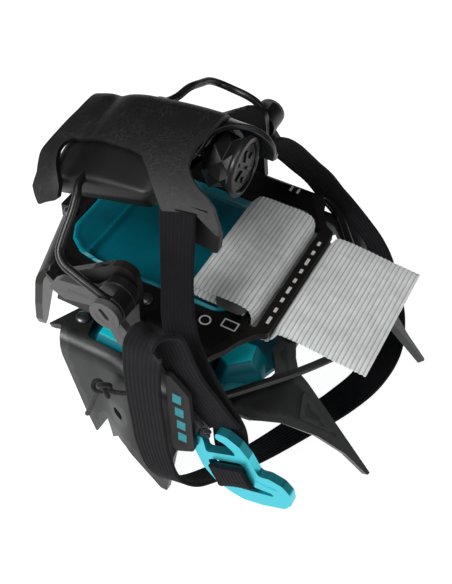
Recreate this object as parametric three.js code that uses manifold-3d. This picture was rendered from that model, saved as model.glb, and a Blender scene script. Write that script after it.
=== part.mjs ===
// A folding mountaineering crampon, packed: the heel section lies on the front section, points
// down, and the ankle strap is wrapped round both. Millimetres, +X forward, +Y to the far side, +Z up.
import * as THREE from 'three';
import { mergeVertices } from 'three/addons/utils/BufferGeometryUtils.js';
import Module from 'manifold-3d';

const wasm = await Module();
wasm.setup();

// ---------- driving dimensions ----------
const SHEET = 2.5; // thickness of the pressed steel
const GAP = 0.3; // clearance between neighbouring pieces
const FRONT_TOP = 42; // upper face of the front frame
const HEEL_TOP = 56; // upper face of the heel frame
const WIRE = 1.3; // radius of the bail wire
const SCREW = 1.8; // radius of the lever's adjusting screw
const STRAP_WIDTH = 12;
const STRAP_THICK = 1.4;
const LINK_WIDTH = 46; // webbing that links the two sections
const LINK_THICK = 1.6;
const SEAM = 0.02; // part of a station's spacing left free where two lengths of strap meet
const CENTRE_X = 5.16; // middle of the packed crampon, which becomes the origin
const CENTRE_Y = -3.15;

const REAR_WALL = { reach: 47.2, flare: 1.6 }; // front section's side walls
const MAIN_WALL = { reach: 49, flare: 8.2, twistFrom: -18, twistTo: -2 };
const TOE_PIVOT = { x: 14, z: 45.6 };
const HEEL_PIVOT = { x: -9.5, z: 72.3 };
const CROSSBAR = { x: -32, z: 92.8 };
const LINK_PIN = { x: -29.5, z: 46, radius: 1.5 };
const DIAL = { z: 92.8, back: -6 };
const HOLDER = { inner: 42.4, wireIn: 46, wireOut: 50.4, outer: 53, radius: 8.2 };
const COVER = { halfWidth: 34, rise: 20, thick: 2.2 };
const POD = { back: -41.5, front: -9.5, halfWidth: 27.8 };
const WINDOW = { back: -42, front: -8.5, inner: 17.5 };
const HOOK = { back: -54.2, front: -57 };

// ---------- solids from three.js geometry ----------
function signedVolume(points, triangles) {
  let volume = 0;
  const [a, b, c] = [new THREE.Vector3(), new THREE.Vector3(), new THREE.Vector3()];
  for (let i = 0; i < triangles.length; i += 3) {
    a.fromArray(points, 3 * triangles[i]);
    b.fromArray(points, 3 * triangles[i + 1]);
    c.fromArray(points, 3 * triangles[i + 2]);
    volume += a.dot(b.cross(c)) / 6;
  }
  return volume;
}

// A closed geometry as a solid whose faces point outwards.
function solid(geometry) {
  const bare = geometry.clone();
  bare.deleteAttribute('normal');
  bare.deleteAttribute('uv');
  const merged = mergeVertices(bare, 1e-4);
  const points = Float32Array.from(merged.attributes.position.array);
  const triangles = Uint32Array.from(merged.index.array);
  if (signedVolume(points, triangles) < 0) {
    for (let i = 0; i < triangles.length; i += 3) {
      [triangles[i], triangles[i + 1]] = [triangles[i + 1], triangles[i]];
    }
  }
  return new wasm.Manifold(new wasm.Mesh({ numProp: 3, vertProperties: points, triVerts: triangles }));
}

function geometryOf(body) {
  const mesh = body.getMesh();
  const geometry = new THREE.BufferGeometry();
  geometry.setAttribute('position', new THREE.BufferAttribute(mesh.vertProperties, 3));
  geometry.setIndex(new THREE.BufferAttribute(mesh.triVerts, 1));
  geometry.computeVertexNormals();
  return geometry;
}

const join = (geometries) => geometries.map(solid).reduce((sum, piece) => sum.add(piece));
const cut = (body, geometries) => geometries.map(solid).reduce((rest, tool) => rest.subtract(tool), body);

const mirror = (geometry) => geometry.clone().scale(1, -1, 1);
const bothSides = (geometries) => [...geometries, ...geometries.map(mirror)];
// The near half of an outline, from back to front, closed by its far half.
const mirrorOutline = (half) => [...half, ...half.map(([x, y]) => [x, -y]).reverse()];

function shapeOf(points, holes = []) {
  const shape = new THREE.Shape(points.map(([u, v]) => new THREE.Vector2(u, v)));
  holes.forEach((hole) => shape.holes.push(new THREE.Path(hole.map(([u, v]) => new THREE.Vector2(u, v)))));
  return shape;
}

function box(x0, x1, y0, y1, z0, z1) {
  const geometry = new THREE.BoxGeometry(x1 - x0, y1 - y0, z1 - z0);
  return geometry.translate((x0 + x1) / 2, (y0 + y1) / 2, (z0 + z1) / 2);
}

// A level plate between two heights, from an outline in X and Y.
function plate(outline, z0, z1, holes) {
  const options = { depth: z1 - z0, bevelEnabled: false };
  return new THREE.ExtrudeGeometry(shapeOf(outline, holes), options).translate(0, 0, z0);
}

// An upright plate between two values of y, from an outline in X and Z.
function upright(outline, y0, y1, holes) {
  const geometry = plate(outline, 0, y1 - y0, holes);
  return geometry.rotateX(Math.PI / 2).translate(0, y1, 0);
}

// How far a near side wall's outer face stands out at x and z: its rear leans out by REAR_WALL.flare
// from FRONT_TOP down to the ground and its front by MAIN_WALL.flare, with a smooth twist between.
function wallReach(x, z) {
  const rear = 1 - THREE.MathUtils.smoothstep(x, MAIN_WALL.twistFrom, MAIN_WALL.twistTo);
  const top = THREE.MathUtils.lerp(MAIN_WALL.reach, REAR_WALL.reach, rear);
  const flare = THREE.MathUtils.lerp(MAIN_WALL.flare, REAR_WALL.flare, rear);
  return top + flare * (1 - z / FRONT_TOP);
}

function sideWall(outline) {
  const wall = upright(outline, -SHEET / 2, SHEET / 2);
  const place = wall.attributes.position;
  for (let i = 0; i < place.count; i += 1) {
    place.setY(i, place.getY(i) + SHEET / 2 - wallReach(place.getX(i), place.getZ(i)));
  }
  return wall;
}

// A flat blade through three points: `across` runs from a to b and `down` from a towards the tip.
function blade(a, b, tip, outline, holes) {
  const across = b.clone().sub(a);
  const down = tip.clone().sub(a);
  const normal = across.clone().cross(down).normalize();
  if (normal.z > 0) normal.negate();
  const place = new THREE.Matrix4().makeBasis(across, down, normal).setPosition(a);
  return plate(outline, 0, SHEET, holes).applyMatrix4(place);
}

function cylinder(radius, from, to, sides = 16) {
  const axis = to.clone().sub(from);
  const geometry = new THREE.CylinderGeometry(radius, radius, axis.length(), sides);
  const turn = new THREE.Quaternion().setFromUnitVectors(new THREE.Vector3(0, 1, 0), axis.normalize());
  return geometry.applyQuaternion(turn).translate(...from.clone().add(to).multiplyScalar(0.5).toArray());
}

const point = (x, y, z) => new THREE.Vector3(x, y, z);

// Round wire or cord along a smooth curve.
function rod(points, radius, steps, sides = 8) {
  const curve = new THREE.CatmullRomCurve3(points.map((p) => point(...p)), false, 'centripetal');
  const circle = new THREE.Shape();
  for (let i = 0; i < sides; i += 1) {
    const turn = (2 * Math.PI * i) / sides;
    const move = i === 0 ? 'moveTo' : 'lineTo';
    circle[move](radius * Math.cos(turn), radius * Math.sin(turn));
  }
  return new THREE.ExtrudeGeometry(circle, { steps, extrudePath: curve, bevelEnabled: false });
}

// Skin over a row of closed rings with equal point counts, capped at both ends.
function loft(rings) {
  const count = rings[0].length;
  const index = [];
  for (let r = 0; r + 1 < rings.length; r += 1) {
    for (let i = 0; i < count; i += 1) {
      const [a, b] = [r * count + i, r * count + ((i + 1) % count)];
      index.push(a, b, b + count, a, b + count, a + count);
    }
  }
  const caps = THREE.ShapeUtils.triangulateShape(flatten(rings[0]), []);
  const last = (rings.length - 1) * count;
  caps.forEach(([a, b, c]) => index.push(a, c, b));
  caps.forEach(([a, b, c]) => index.push(last + a, last + b, last + c));
  const geometry = new THREE.BufferGeometry();
  const places = rings.flat().flatMap((p) => p.toArray());
  geometry.setAttribute('position', new THREE.Float32BufferAttribute(places, 3));
  geometry.setIndex(index);
  return geometry;
}

// The ring's own plane as 2-D points, wound so that its caps face along the row.
function flatten(ring) {
  const origin = ring[0];
  const u = ring[1].clone().sub(origin).normalize();
  const normal = new THREE.Vector3();
  for (let i = 1; i + 1 < ring.length; i += 1) {
    normal.add(ring[i].clone().sub(origin).cross(ring[i + 1].clone().sub(origin)));
  }
  const v = normal.normalize().clone().cross(u);
  return ring.map((p) => new THREE.Vector2(p.clone().sub(origin).dot(u), p.clone().sub(origin).dot(v)));
}

// Flat webbing along a curve. Each station is a centre and the direction of the width there, and
// only the length between the stations numbered `from` and `to` is made.
function ribbon(stations, width, thick, steps, from = 0, to = stations.length - 1) {
  const centres = new THREE.CatmullRomCurve3(stations.map(([c]) => point(...c)), false, 'centripetal');
  const widths = new THREE.CatmullRomCurve3(stations.map(([, w]) => point(...w).normalize()));
  const rings = [];
  for (let i = 0; i <= steps; i += 1) {
    const along = THREE.MathUtils.mapLinear(i, 0, steps, from, to) / (stations.length - 1);
    const centre = centres.getPoint(along);
    const tangent = centres.getTangent(along);
    const across = widths.getPoint(along);
    across.addScaledVector(tangent, -across.dot(tangent)).normalize().multiplyScalar(width / 2);
    const through = tangent.clone().cross(across).normalize().multiplyScalar(thick / 2);
    const corners = [[1, 1], [-1, 1], [-1, -1], [1, -1]];
    rings.push(corners.map(([a, t]) => centre.clone().addScaledVector(across, a).addScaledVector(through, t)));
  }
  return loft(rings);
}

// Webbing as wide as the link, along a curve given in X and Z.
function linkBand(path, steps) {
  return ribbon(path.map(([x, z]) => [[x, 0, z], [0, 1, 0]]), LINK_WIDTH, LINK_THICK, steps);
}

// ---------- materials ----------
const finish = (color, roughness, metalness = 0) => new THREE.MeshStandardMaterial({ color, roughness, metalness });
const blackSteel = finish(0x171718, 0.42, 0.6);
const frontSteel = finish(0x2b2927, 0.45, 0.6);
const blackWire = finish(0x1b1b1d, 0.3, 0.7);
const tealPlastic = finish(0x046a78, 0.4);
const blackPlastic = finish(0x1a1b1c, 0.5);
const greyPlastic = finish(0x66676a, 0.5);
const coverPlastic = finish(0x2c2d2f, 0.6);
const webbingGrey = finish(0xc8cccb, 0.85);
const strapBlack = finish(0x1a181c, 0.85);
const labelRubber = finish(0x3a3b3c, 0.7);
const cyanMetal = finish(0x14c8e0, 0.3, 0.8);
const plainSteel = finish(0x8d8f92, 0.35, 0.9);

const crampon = new THREE.Group();

function addPart(name, body, material) {
  const mesh = new THREE.Mesh(geometryOf(body), material);
  mesh.name = name;
  crampon.add(mesh);
}

// ---------- front section: frame with side walls, teeth and front points ----------
const frontOutline = mirrorOutline([
  [-33, 0], [-33, -41], [-30, -46], [-9, -48.6], [16, -49.4], [24, -48], [29.9, -46.1], [39.2, -22.1],
  [36, -18], [33.6, -13], [33.5, 0],
].slice(1, -1));
const frontOpening = mirrorOutline([
  [-27, -34], [-25, -43.3], [-8, -43.9], [14, -44.2], [23, -41.5], [31, -33], [33.6, -26], [28, -18.5],
]);
const FRONT_RIVETS = [[-30, -37], [30.8, -11]];
const RIVET_HOLE = 1.7;

function rivetHoles(places, z0, z1) {
  return places.flatMap(([x, y]) => [y, -y].map((side) => (
    cylinder(RIVET_HOLE, point(x, side, z0), point(x, side, z1), 10))));
}

function frontPlate() {
  const wallOutline = [[-32.5, 41.5], [-31.8, 34], [-24.7, 10.3], [-21.8, 0], [-19.6, 0], [-15.6, 11], [-12.6, 4.7],
    [-9.4, 9.8], [-5, 10.3], [9.6, 0], [11.9, 0], [12.6, 16], [14.5, 25], [22, 31], [23, 41.5], [14, 41.5], [4, 41.5],
    [-6, 41.5], [-12, 41.5], [-20, 41.5]];
  const eyelets = [-11, -9.8, -8.6].map((x) => cylinder(1.7, point(x, -60, 20.5), point(x, -40, 20.5), 10));
  const pointRoot = point(39.2, -22.1, FRONT_TOP);
  const pointSide = point(29.9, -46.1, FRONT_TOP);
  const pointTip = point(68.7, -25.6, 11.1);
  const pointOutline = [[0, 0], [0.95, -0.01], [1, 0], [1, 0.05], [0.75, 0.13], [0.5, 0.3], [0.25, 0.58],
    [0.1, 0.86], [0, 1]].map(([down, across]) => [across, down]);
  const ear = upright([[-33, 41], [-26, 41], [-26, 47], [-27.5, 48.7], [-31.5, 48.7], [-33, 47]], -27.1, -24.6);
  const sides = bothSides([
    sideWall(wallOutline),
    blade(pointRoot, pointSide, pointTip, pointOutline),
    ear,
  ]);
  const frame = plate(frontOutline, FRONT_TOP - SHEET, FRONT_TOP, [frontOpening]);
  const pinAt = (y) => point(LINK_PIN.x, y, LINK_PIN.z);
  const pinHole = cylinder(LINK_PIN.radius + GAP, pinAt(-30), pinAt(30));
  const holes = [...bothSides(eyelets), pinHole, ...rivetHoles(FRONT_RIVETS, 30, 50)];
  return cut(join([frame, ...sides]), holes);
}

// Snow-shedding plate clipped under the front frame, with raised blocks in its opening.
function frontAntiball() {
  const base = mirrorOutline([
    [-31, -39.6], [-24, -41.4], [-7.2, -41.4], [-7.2, -37.2], [15.2, -37.2], [15.2, -39], [24, -37],
    [28, -30], [33, -16],
  ]);
  const rearBlock = plate([[-23, -34.5], [-22, -42.6], [-8.6, -42.8], [-10, -34.5]], 38.5, 44.5);
  const frontBlock = loft([
    [[15.4, -33.5], [19.5, -36.4], [31, -29.5], [27.6, -20], [16, -20]].map(([x, y]) => point(x, y, 38.5)),
    [[15.8, -31], [19.6, -32.8], [27, -26], [25, -20.5], [16.4, -22]].map(([x, y]) => point(x, y, 44.5)),
  ]);
  const body = join([plate(base, 36.6, 39.2), ...bothSides([rearBlock, frontBlock])]);
  return cut(body, rivetHoles(FRONT_RIVETS, 30, 50));
}

function rivet(x, y, topFace) {
  const profile = [[0, -5], [1.4, -5], [1.4, GAP], [2.5, GAP], [2.1, 1.3], [0, 1.6]];
  const turned = new THREE.LatheGeometry(profile.map(([r, z]) => new THREE.Vector2(r, z)), 10);
  return turned.rotateX(Math.PI / 2).translate(x, y, topFace);
}

addPart('front_plate', frontPlate(), frontSteel);
addPart('front_antiball_plate', frontAntiball(), tealPlastic);
for (const [side, name] of [[-1, 'right'], [1, 'left']]) {
  FRONT_RIVETS.forEach(([x, y], i) => {
    addPart(`front_rivet_${['rear', 'toe'][i]}_${name}`, join([rivet(x, -side * y, FRONT_TOP)]), plainSteel);
  });
  const ySocket = [side * 42.6, side * 46].sort((a, b) => a - b);
  const socket = box(10.6, 17.2, ...ySocket, FRONT_TOP + GAP, 48.5);
  const bore = cylinder(WIRE + 2 * GAP, point(TOE_PIVOT.x, -60, TOE_PIVOT.z), point(TOE_PIVOT.x, 60, TOE_PIVOT.z));
  addPart(`bail_socket_${name}`, cut(join([socket]), [bore]), blackPlastic);
}

// Toe bail: a wire loop whose ends turn in through the sockets.
const toeArm = [[14, 42.9, 45.6], [14, 45.5, 45.6], [14, 46.8, 45.6], [14.4, 48.1, 45.6], [15.4, 48.6, 45.6],
  [17, 48.5, 45.5], [22, 45.6, 45.2], [31.4, 34.5, 44.7], [39.8, 24, 44.6], [47.4, 12.6, 44.6], [51.4, 5, 44.6]];
const toeLoop = [...toeArm, ...toeArm.map(([x, y, z]) => [x, -y, z]).reverse()];
addPart('toe_bail', join([rod(toeLoop, WIRE, 46)]), blackWire);

// Elastic cord knotted on the outside of the near wall, its end hanging free.
const SHOCK_CORD = [[-3.6, -51.9, 38], [-7, -52.5, 37.7], [-10.7, -52.7, 37.4], [-13.2, -52.9, 37.2]];
const SHOCK_TAIL = [[-17.2, -53.2, 34.6], [-18.4, -53.2, 31], [-19.8, -52.9, 26], [-21, -52.6, 21],
  [-21.8, -52.3, 16.7]];
addPart('shock_cord', join([rod(SHOCK_CORD, 1.1, 6)]), strapBlack);
addPart('shock_cord_end', join([rod(SHOCK_TAIL, 1.1, 9)]), strapBlack);
addPart('shock_cord_knot', join([new THREE.SphereGeometry(2.1, 10, 8).translate(-15.6, -53.1, 36.6)]), strapBlack);

// ---------- webbing link between the sections ----------
const pinEnd = (y) => point(LINK_PIN.x, y, LINK_PIN.z);
const anchorPin = cylinder(LINK_PIN.radius, pinEnd(-26.8), pinEnd(26.8), 12);
addPart('link_anchor_pin', join([anchorPin]), plainSteel);

const LINK_STRAND = [[-25, 43.3], [-29.5, 43.3], [-31.5, 44], [-32.3, 46], [-31.5, 48],
  [-29.5, 48.8], [-25, 48.9], [-12, 48.5], [0, 48.4],
  [15, 48.6], [23, 50], [28, 50.4]];
const LINK_LOOP = [[19.3, 57.6], [12, 57.6], [5, 57.6], [2.2, 58.1], [0.9, 59.6], [2.2, 61.1], [5, 61.6], [12, 61.6],
  [17.5, 61.6], [20.8, 60.6], [22, 58], [22.2, 54.8], [23.2, 52.9], [26, 52.3], [29.2, 52.3]];
const LINK_TAIL = [[31, 52.7], [31.6, 54], [33, 54.9], [38, 55.2], [48, 54.5], [59.8, 53.6]];
addPart('link_strand', join([linkBand(LINK_STRAND, 33)]), webbingGrey);
addPart('link_loop', join([linkBand(LINK_LOOP, 40)]), webbingGrey);
addPart('link_tail', join([linkBand(LINK_TAIL, 12)]), webbingGrey);

const toggleOutline = mirrorOutline([[3.2, -23.6], [5, -25.6], [17, -25.6], [18.8, -23.6]]);
addPart('link_toggle', join([plate(toggleOutline, 58.8, 60.4)]), greyPlastic);

// ---------- heel section: frame with rear claws, side teeth and bail lugs ----------
const heelOutline = mirrorOutline([
  [-56.8, -6], [-54.6, -16], [-52.2, -25.8], [-47.3, -34.7], [-38, -38], [-19, -39.5], [-17, -42], [-1, -42],
  [2, -41], [14, -41], [18, -38.5], [22, -31], [26, -26], [29.5, -24.6],
]);
const heelOpening = mirrorOutline([
  [-47.6, -14], [-44.6, -20], [-39, -24], [-32, -25.2], [10, -24.6], [14, -22.6], [15.2, -19],
]);
const linkSlot = [[20.5, -24], [24, -24], [24, 24], [20.5, 24]];
const HEEL_RIVETS = [[-51.4, -10], [-10, -31]];

function heelPlate() {
  const sideTooth = [[-5.5, 55.5], [-4, 40], [3, 26], [7, 14], [9, 14], [11, 30], [13.5, 46], [13.5, 55.5]];
  const clawInner = point(-56.4, -6, HEEL_TOP);
  const clawOuter = point(-47.3, -34.7, HEEL_TOP);
  const clawTip = point(-62.2, -13.3, 13.8);
  const clawOutline = [[0, 0], [1, 0], [0.99, 0.2], [0.87, 0.5], [0.7, 0.8], [0.5, 1], [0.42, 1], [0.4, 0.8],
    [0.36, 0.5], [0.25, 0.3], [0, 0.22]];
  const lug = upright([[-17, 54], [-1, 54], [-3.5, 77], [-6, 79], [-13, 79], [-15.5, 77]], -42, -39.5);
  const rearWall = box(-56.8, -54.3, -8, 8, 47, 55.8);
  const frame = plate(heelOutline, HEEL_TOP - SHEET, HEEL_TOP, [heelOpening, linkSlot]);
  const tooth = upright(sideTooth, -40.6, -40.6 + SHEET);
  const sides = bothSides([tooth, blade(clawInner, clawOuter, clawTip, clawOutline), lug]);
  const pivotAt = (y) => point(HEEL_PIVOT.x, y, HEEL_PIVOT.z);
  const pivotHole = cylinder(WIRE + GAP, pivotAt(-60), pivotAt(60));
  return cut(join([frame, rearWall, ...sides]), [pivotHole, ...rivetHoles(HEEL_RIVETS, 44, 66)]);
}

function heelAntiball() {
  const flange = mirrorOutline([
    [-53.6, -7], [-50.6, -15], [-46.6, -24], [-40, -28], [-15, -28], [-14, -34.5], [-6, -34.5], [-5, -28],
    [14, -27.5], [17, -24], [19.5, -20],
  ]);
  const pad = mirrorOutline([
    [-47.2, -13.8], [-44.3, -19.6], [-38.8, -23.6], [-32, -24.8], [9.8, -24.2], [13.7, -22.3], [14.8, -18.8],
  ]);
  const body = join([plate(flange, 51, 53.2), plate(pad, 52, 56.5)]);
  return cut(body, rivetHoles(HEEL_RIVETS, 44, 66));
}

addPart('heel_plate', heelPlate(), blackSteel);
addPart('heel_antiball_plate', heelAntiball(), tealPlastic);

// Clip that holds one end of the heel bail: two cheeks joined by a band round the front.
function bailHolder() {
  const { x, z } = HEEL_PIVOT;
  const across = (radius, y0, y1, sides) => cylinder(radius, point(x, y0, z), point(x, y1, z), sides);
  const ear = upright([[-32, 66], [-27, 72], [-21, 69.6], [-14, 76], [-10, 66], [-16, 64.4], [-27, 61.8]], -45.6, -43);
  const body = join([across(HOLDER.radius, -HOLDER.outer, -HOLDER.inner, 24), ear]);
  const channel = box(x - 12, x, -HOLDER.wireOut, -HOLDER.wireIn, z - 9, z + 9);
  const well = across(6.2, -HOLDER.wireOut, -HOLDER.wireIn, 20);
  return cut(body, [channel, well, across(WIRE + GAP, -HOLDER.wireIn - 1, -HOLDER.inner + 1, 12)]);
}

for (const [side, name] of [[-1, 'right'], [1, 'left']]) {
  const holder = geometryOf(bailHolder());
  addPart(`bail_holder_${name}`, join([side < 0 ? holder : mirror(holder)]), greyPlastic);
  HEEL_RIVETS.forEach(([x, y], i) => {
    addPart(`heel_rivet_${['rear', 'side'][i]}_${name}`, join([rivet(x, -side * y, HEEL_TOP)]), plainSteel);
  });
}

// Heel bail: a wire from both holders up to a crossbar through the lever.
const heelArm = [[-9.5, 39.9, 72.3], [-9.5, 43, 72.3], [-9.5, 45.8, 72.3], [-10, 47.6, 72.5], [-11.8, 48.2, 73.1],
  [-16, 48.3, 74.7], [-25, 48.6, 78], [-29.2, 48.2, 80], [-31, 45.4, 82.4], [-31.6, 39, 87.4], [-31.9, 33.4, 91.4],
  [-32, 30.4, 92.6], [-32, 27, 92.8], [-32, 14, 92.8]];
const heelLoop = [...heelArm, ...heelArm.map(([x, y, z]) => [x, -y, z]).reverse()];
addPart('heel_bail', join([rod(heelLoop, WIRE, 60)]), blackWire);

// ---------- heel lever ----------
const crestHeight = (x) => 107.7 - 9.3 * (Math.max(0, 2 - x) / 48) ** 2;

// One arch of the lever's cover at x, from -reach to reach degrees, with its inside offset by `thick`.
function archRing(x, reach, halfWidth, rise, thick) {
  const segments = 12;
  const centre = crestHeight(x) - COVER.rise;
  const arc = (shrink) => Array.from({ length: segments + 1 }, (_, i) => {
    const turn = THREE.MathUtils.degToRad(reach * (2 * i / segments - 1));
    return point(x, (halfWidth - shrink) * Math.sin(turn), centre + (rise - shrink) * Math.cos(turn));
  });
  return [...arc(0), ...arc(thick).reverse()];
}

function leverCover() {
  const stations = [[-46, 80], [-42, 80], [-34, 74], [-25, 66], [-16, 60], [-8, 58], [2, 58], [7, 58],
    [9, 66], [15, 68]];
  const shell = loft(stations.map(([x, reach]) => archRing(x, reach, COVER.halfWidth, COVER.rise, COVER.thick)));
  const window = box(WINDOW.back, WINDOW.front, -40, -WINDOW.inner, 70, 106);
  const axial = (radius, x0, x1, sides) => cylinder(radius, point(x0, 0, DIAL.z), point(x1, 0, DIAL.z), sides);
  const frontTab = box(5, 8, -29, -26.4, 84, 99);
  const backTab = box(-9.4, -6.6, -29, -26.4, 86, 99);
  const hoodRing = cut(join([axial(17, -7, 6, 32)]), [axial(14.2, -10, 9, 32), box(-10, 9, -20, 20, 70, 91)]);
  const frontEdge = [[-2, 110], [-3.2, 106.3], [-2.1, 104.2], [3.3, 102.2], [8.5, 101.2], [14.8, 96.1], [14.8, 90],
    [20, 90], [20, 110]];
  const opened = cut(join([shell]), [...bothSides([window]), axial(15, -9, 9, 32), upright(frontEdge, -40, 40)]);
  const pinHole = cylinder(1.3 + GAP, point(-7.8, -27.7, 90.5), point(6.4, -27.7, 90.5), 10);
  return cut(opened.add(hoodRing).add(join(bothSides([frontTab, backTab]))), bothSides([pinHole]));
}

// Smooth body under the cover: it carries the screw and the nut that takes the bail's crossbar.
function leverBody() {
  const { back, front, halfWidth } = POD;
  const stations = [back, -33, -22, front];
  const ring = (x) => {
    const centre = crestHeight(x) - COVER.rise;
    const [spanY, spanZ] = [COVER.halfWidth - COVER.thick - GAP, COVER.rise - COVER.thick - GAP];
    const reach = Math.asin(halfWidth / spanY);
    const floor = THREE.MathUtils.mapLinear(x, back, front, 80, 88.5);
    const arch = Array.from({ length: 11 }, (_, i) => {
      const turn = reach * (i / 5 - 1);
      return point(x, spanY * Math.sin(turn), centre + spanZ * Math.cos(turn));
    });
    return [...arch, point(x, halfWidth, floor + 4), point(x, halfWidth - 4, floor), point(x, 4 - halfWidth, floor),
      point(x, -halfWidth, floor + 4)];
  };
  const pocket = box(-40.5, -19, -7, 7, 70, 96.9);
  const crossHole = cylinder(WIRE + 0.4, point(CROSSBAR.x, -40, CROSSBAR.z), point(CROSSBAR.x, 40, CROSSBAR.z), 12);
  const screwHole = cylinder(2.2, point(-25, 0, DIAL.z), point(0, 0, DIAL.z), 12);
  return cut(join([loft(stations.map(ring))]), [pocket, crossHole, screwHole]);
}

function adjustNut() {
  const block = box(-40, -23, -6.5, 6.5, 87.5, 96.6);
  const crossSlot = box(-37.3, -29.9, -8, 8, 90.6, 95);
  const thread = cylinder(2.1, point(-28.6, 0, DIAL.z), point(-20, 0, DIAL.z), 12);
  return cut(join([block]), [crossSlot, thread]);
}

// Faceted dial with a rim round a recessed face.
function adjustDial() {
  const profile = [[0, -6], [10.4, -6], [11.4, -4], [10.6, 0.4], [11.6, 3.6], [12, 4.2], [12, 5.6], [11.6, 6],
    [9.6, 6], [9.5, 4.5], [0, 4.5]];
  const turned = new THREE.LatheGeometry(profile.map(([r, x]) => new THREE.Vector2(r, x)), 14);
  return join([turned.rotateZ(-Math.PI / 2).translate(0, 0, DIAL.z)]);
}

addPart('lever_cover', leverCover(), coverPlastic);
addPart('lever_body', leverBody(), blackPlastic);
addPart('adjust_nut', adjustNut(), plainSteel);
const adjustScrew = cylinder(SCREW, point(-25.3, 0, DIAL.z), point(DIAL.back - GAP, 0, DIAL.z), 12);
addPart('adjust_screw', join([adjustScrew]), plainSteel);
addPart('adjust_dial', adjustDial(), coverPlastic);
addPart('dial_cap', join([cylinder(9.2, point(4.8, 0, DIAL.z), point(5.8, 0, DIAL.z), 20)]), blackPlastic);
for (const [side, name] of [[-1, 'right'], [1, 'left']]) {
  const pin = cylinder(1.3, point(-7.5, side * 27.7, 90.5), point(6.1, side * 27.7, 90.5), 10);
  addPart(`strap_pin_${name}`, join([pin]), plainSteel);
}

// ---------- ankle strap, made in the lengths that move apart ----------
// Each station is the middle of the strap and the direction of its width.
const BESIDE = [0.86, 0, 0.51];
const FAR = [0.8, 0, 0.6];
const NEAR_STRAP = [
  [[0.4, -30.4, 93.4], BESIDE], [[1.6, -31.8, 87], BESIDE], [[3.2, -34.4, 81.4], BESIDE],
  [[5.6, -38.6, 76.6], BESIDE], [[9, -44, 73], BESIDE], [[13.2, -48.4, 69.2], BESIDE],
  [[19.4, -50.8, 60.6], BESIDE], [[25.6, -51.2, 50.8], BESIDE], [[30, -51.6, 44], BESIDE],
  [[31.8, -52.6, 36.5], BESIDE], [[33.4, -53, 30], BESIDE], [[35, -53.4, 25.6], BESIDE],
  [[36.3, -55.6, 23.6], BESIDE], [[36.2, -57.9, 25.6], BESIDE], [[34.6, -58.3, 29], BESIDE],
  [[32.7, -58.3, 33], BESIDE],
];
const LOOP_STRAP = [
  [[29.6, -53.2, 45.6], BESIDE], [[27, -53.8, 49.4], BESIDE], [[22.5, -54.4, 56.4], BESIDE],
  [[18.2, -55, 64], BESIDE], [[15, -55.6, 74], BESIDE], [[13, -56, 82.6], BESIDE],
  [[11.4, -57.2, 87.2], BESIDE], [[9.2, -59.4, 87], BESIDE], [[7.6, -60.2, 82], BESIDE],
  [[7, -60.2, 72], [0.9, 0, 0.43]], [[6.9, -60.2, 57.4], [0.88, 0, 0.46]], [[8.1, -60.2, 40], [0.95, 0, 0.28]],
  [[9.5, -60.2, 27.5], [1, 0, 0.1]], [[13.6, -60, 16], [0.93, -0.05, 0.36]], [[18.7, -56.5, 10.8], [0.8, -0.2, 0.56]],
  [[23.6, -49.6, 8.4], [0.74, -0.3, 0.6]], [[32.3, -35.2, 7.4], [0.76, -0.42, 0.5]],
  [[41, -18, 7], [0.82, -0.45, 0.36]], [[48.6, -2, 6.8], [0.87, -0.45, 0.2]], [[53.2, 12, 6.8], [0.98, -0.1, 0.16]],
  [[54, 27, 7.2], [0.97, 0.15, 0.2]], [[50.4, 39, 9.6], [0.9, 0.2, 0.38]], [[45.2, 46.8, 15.4], FAR],
  [[39.2, 50, 25], FAR], [[34.3, 50.9, 31.2], FAR], [[28.9, 51.4, 36.2], FAR], [[23, 51.6, 41.4], FAR],
  [[16.8, 51.3, 47], FAR], [[12, 49.4, 53.6], FAR], [[7.8, 45.6, 60], FAR], [[4.8, 40.9, 66.9], FAR],
  [[2.6, 35.8, 77], FAR], [[1, 32, 86], FAR], [[0.4, 30.4, 93.4], FAR],
];

function addStrap(name, stations, from, to, steps) {
  const start = from === 0 ? from : from + SEAM;
  const end = to === stations.length - 1 ? to : to - SEAM;
  addPart(name, join([ribbon(stations, STRAP_WIDTH, STRAP_THICK, steps, start, end)]), strapBlack);
}

addStrap('strap_near_top', NEAR_STRAP, 0, 2, 5);
addStrap('strap_near_mid', NEAR_STRAP, 2, 4, 5);
addStrap('strap_near_run', NEAR_STRAP, 4, 8, 11);
addStrap('strap_hook_loop', NEAR_STRAP, 8, 15, 20);
addStrap('strap_return', LOOP_STRAP, 0, 10, 28);
addStrap('strap_tail', LOOP_STRAP, 10, 13, 9);
addStrap('strap_ring', LOOP_STRAP, 13, 22, 32);
addStrap('strap_far_run', LOOP_STRAP, 22, 28, 16);
addStrap('strap_far_mid', LOOP_STRAP, 28, 30, 5);
addStrap('strap_far_top', LOOP_STRAP, 30, 33, 7);

const labelOutline = [[13.2, 66.6], [15, 67], [20.8, 61], [22.9, 34.9], [15.4, 29.8]];
addPart('strap_label', join([upright(labelOutline, -58.9, -57.4)]), labelRubber);

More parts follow.
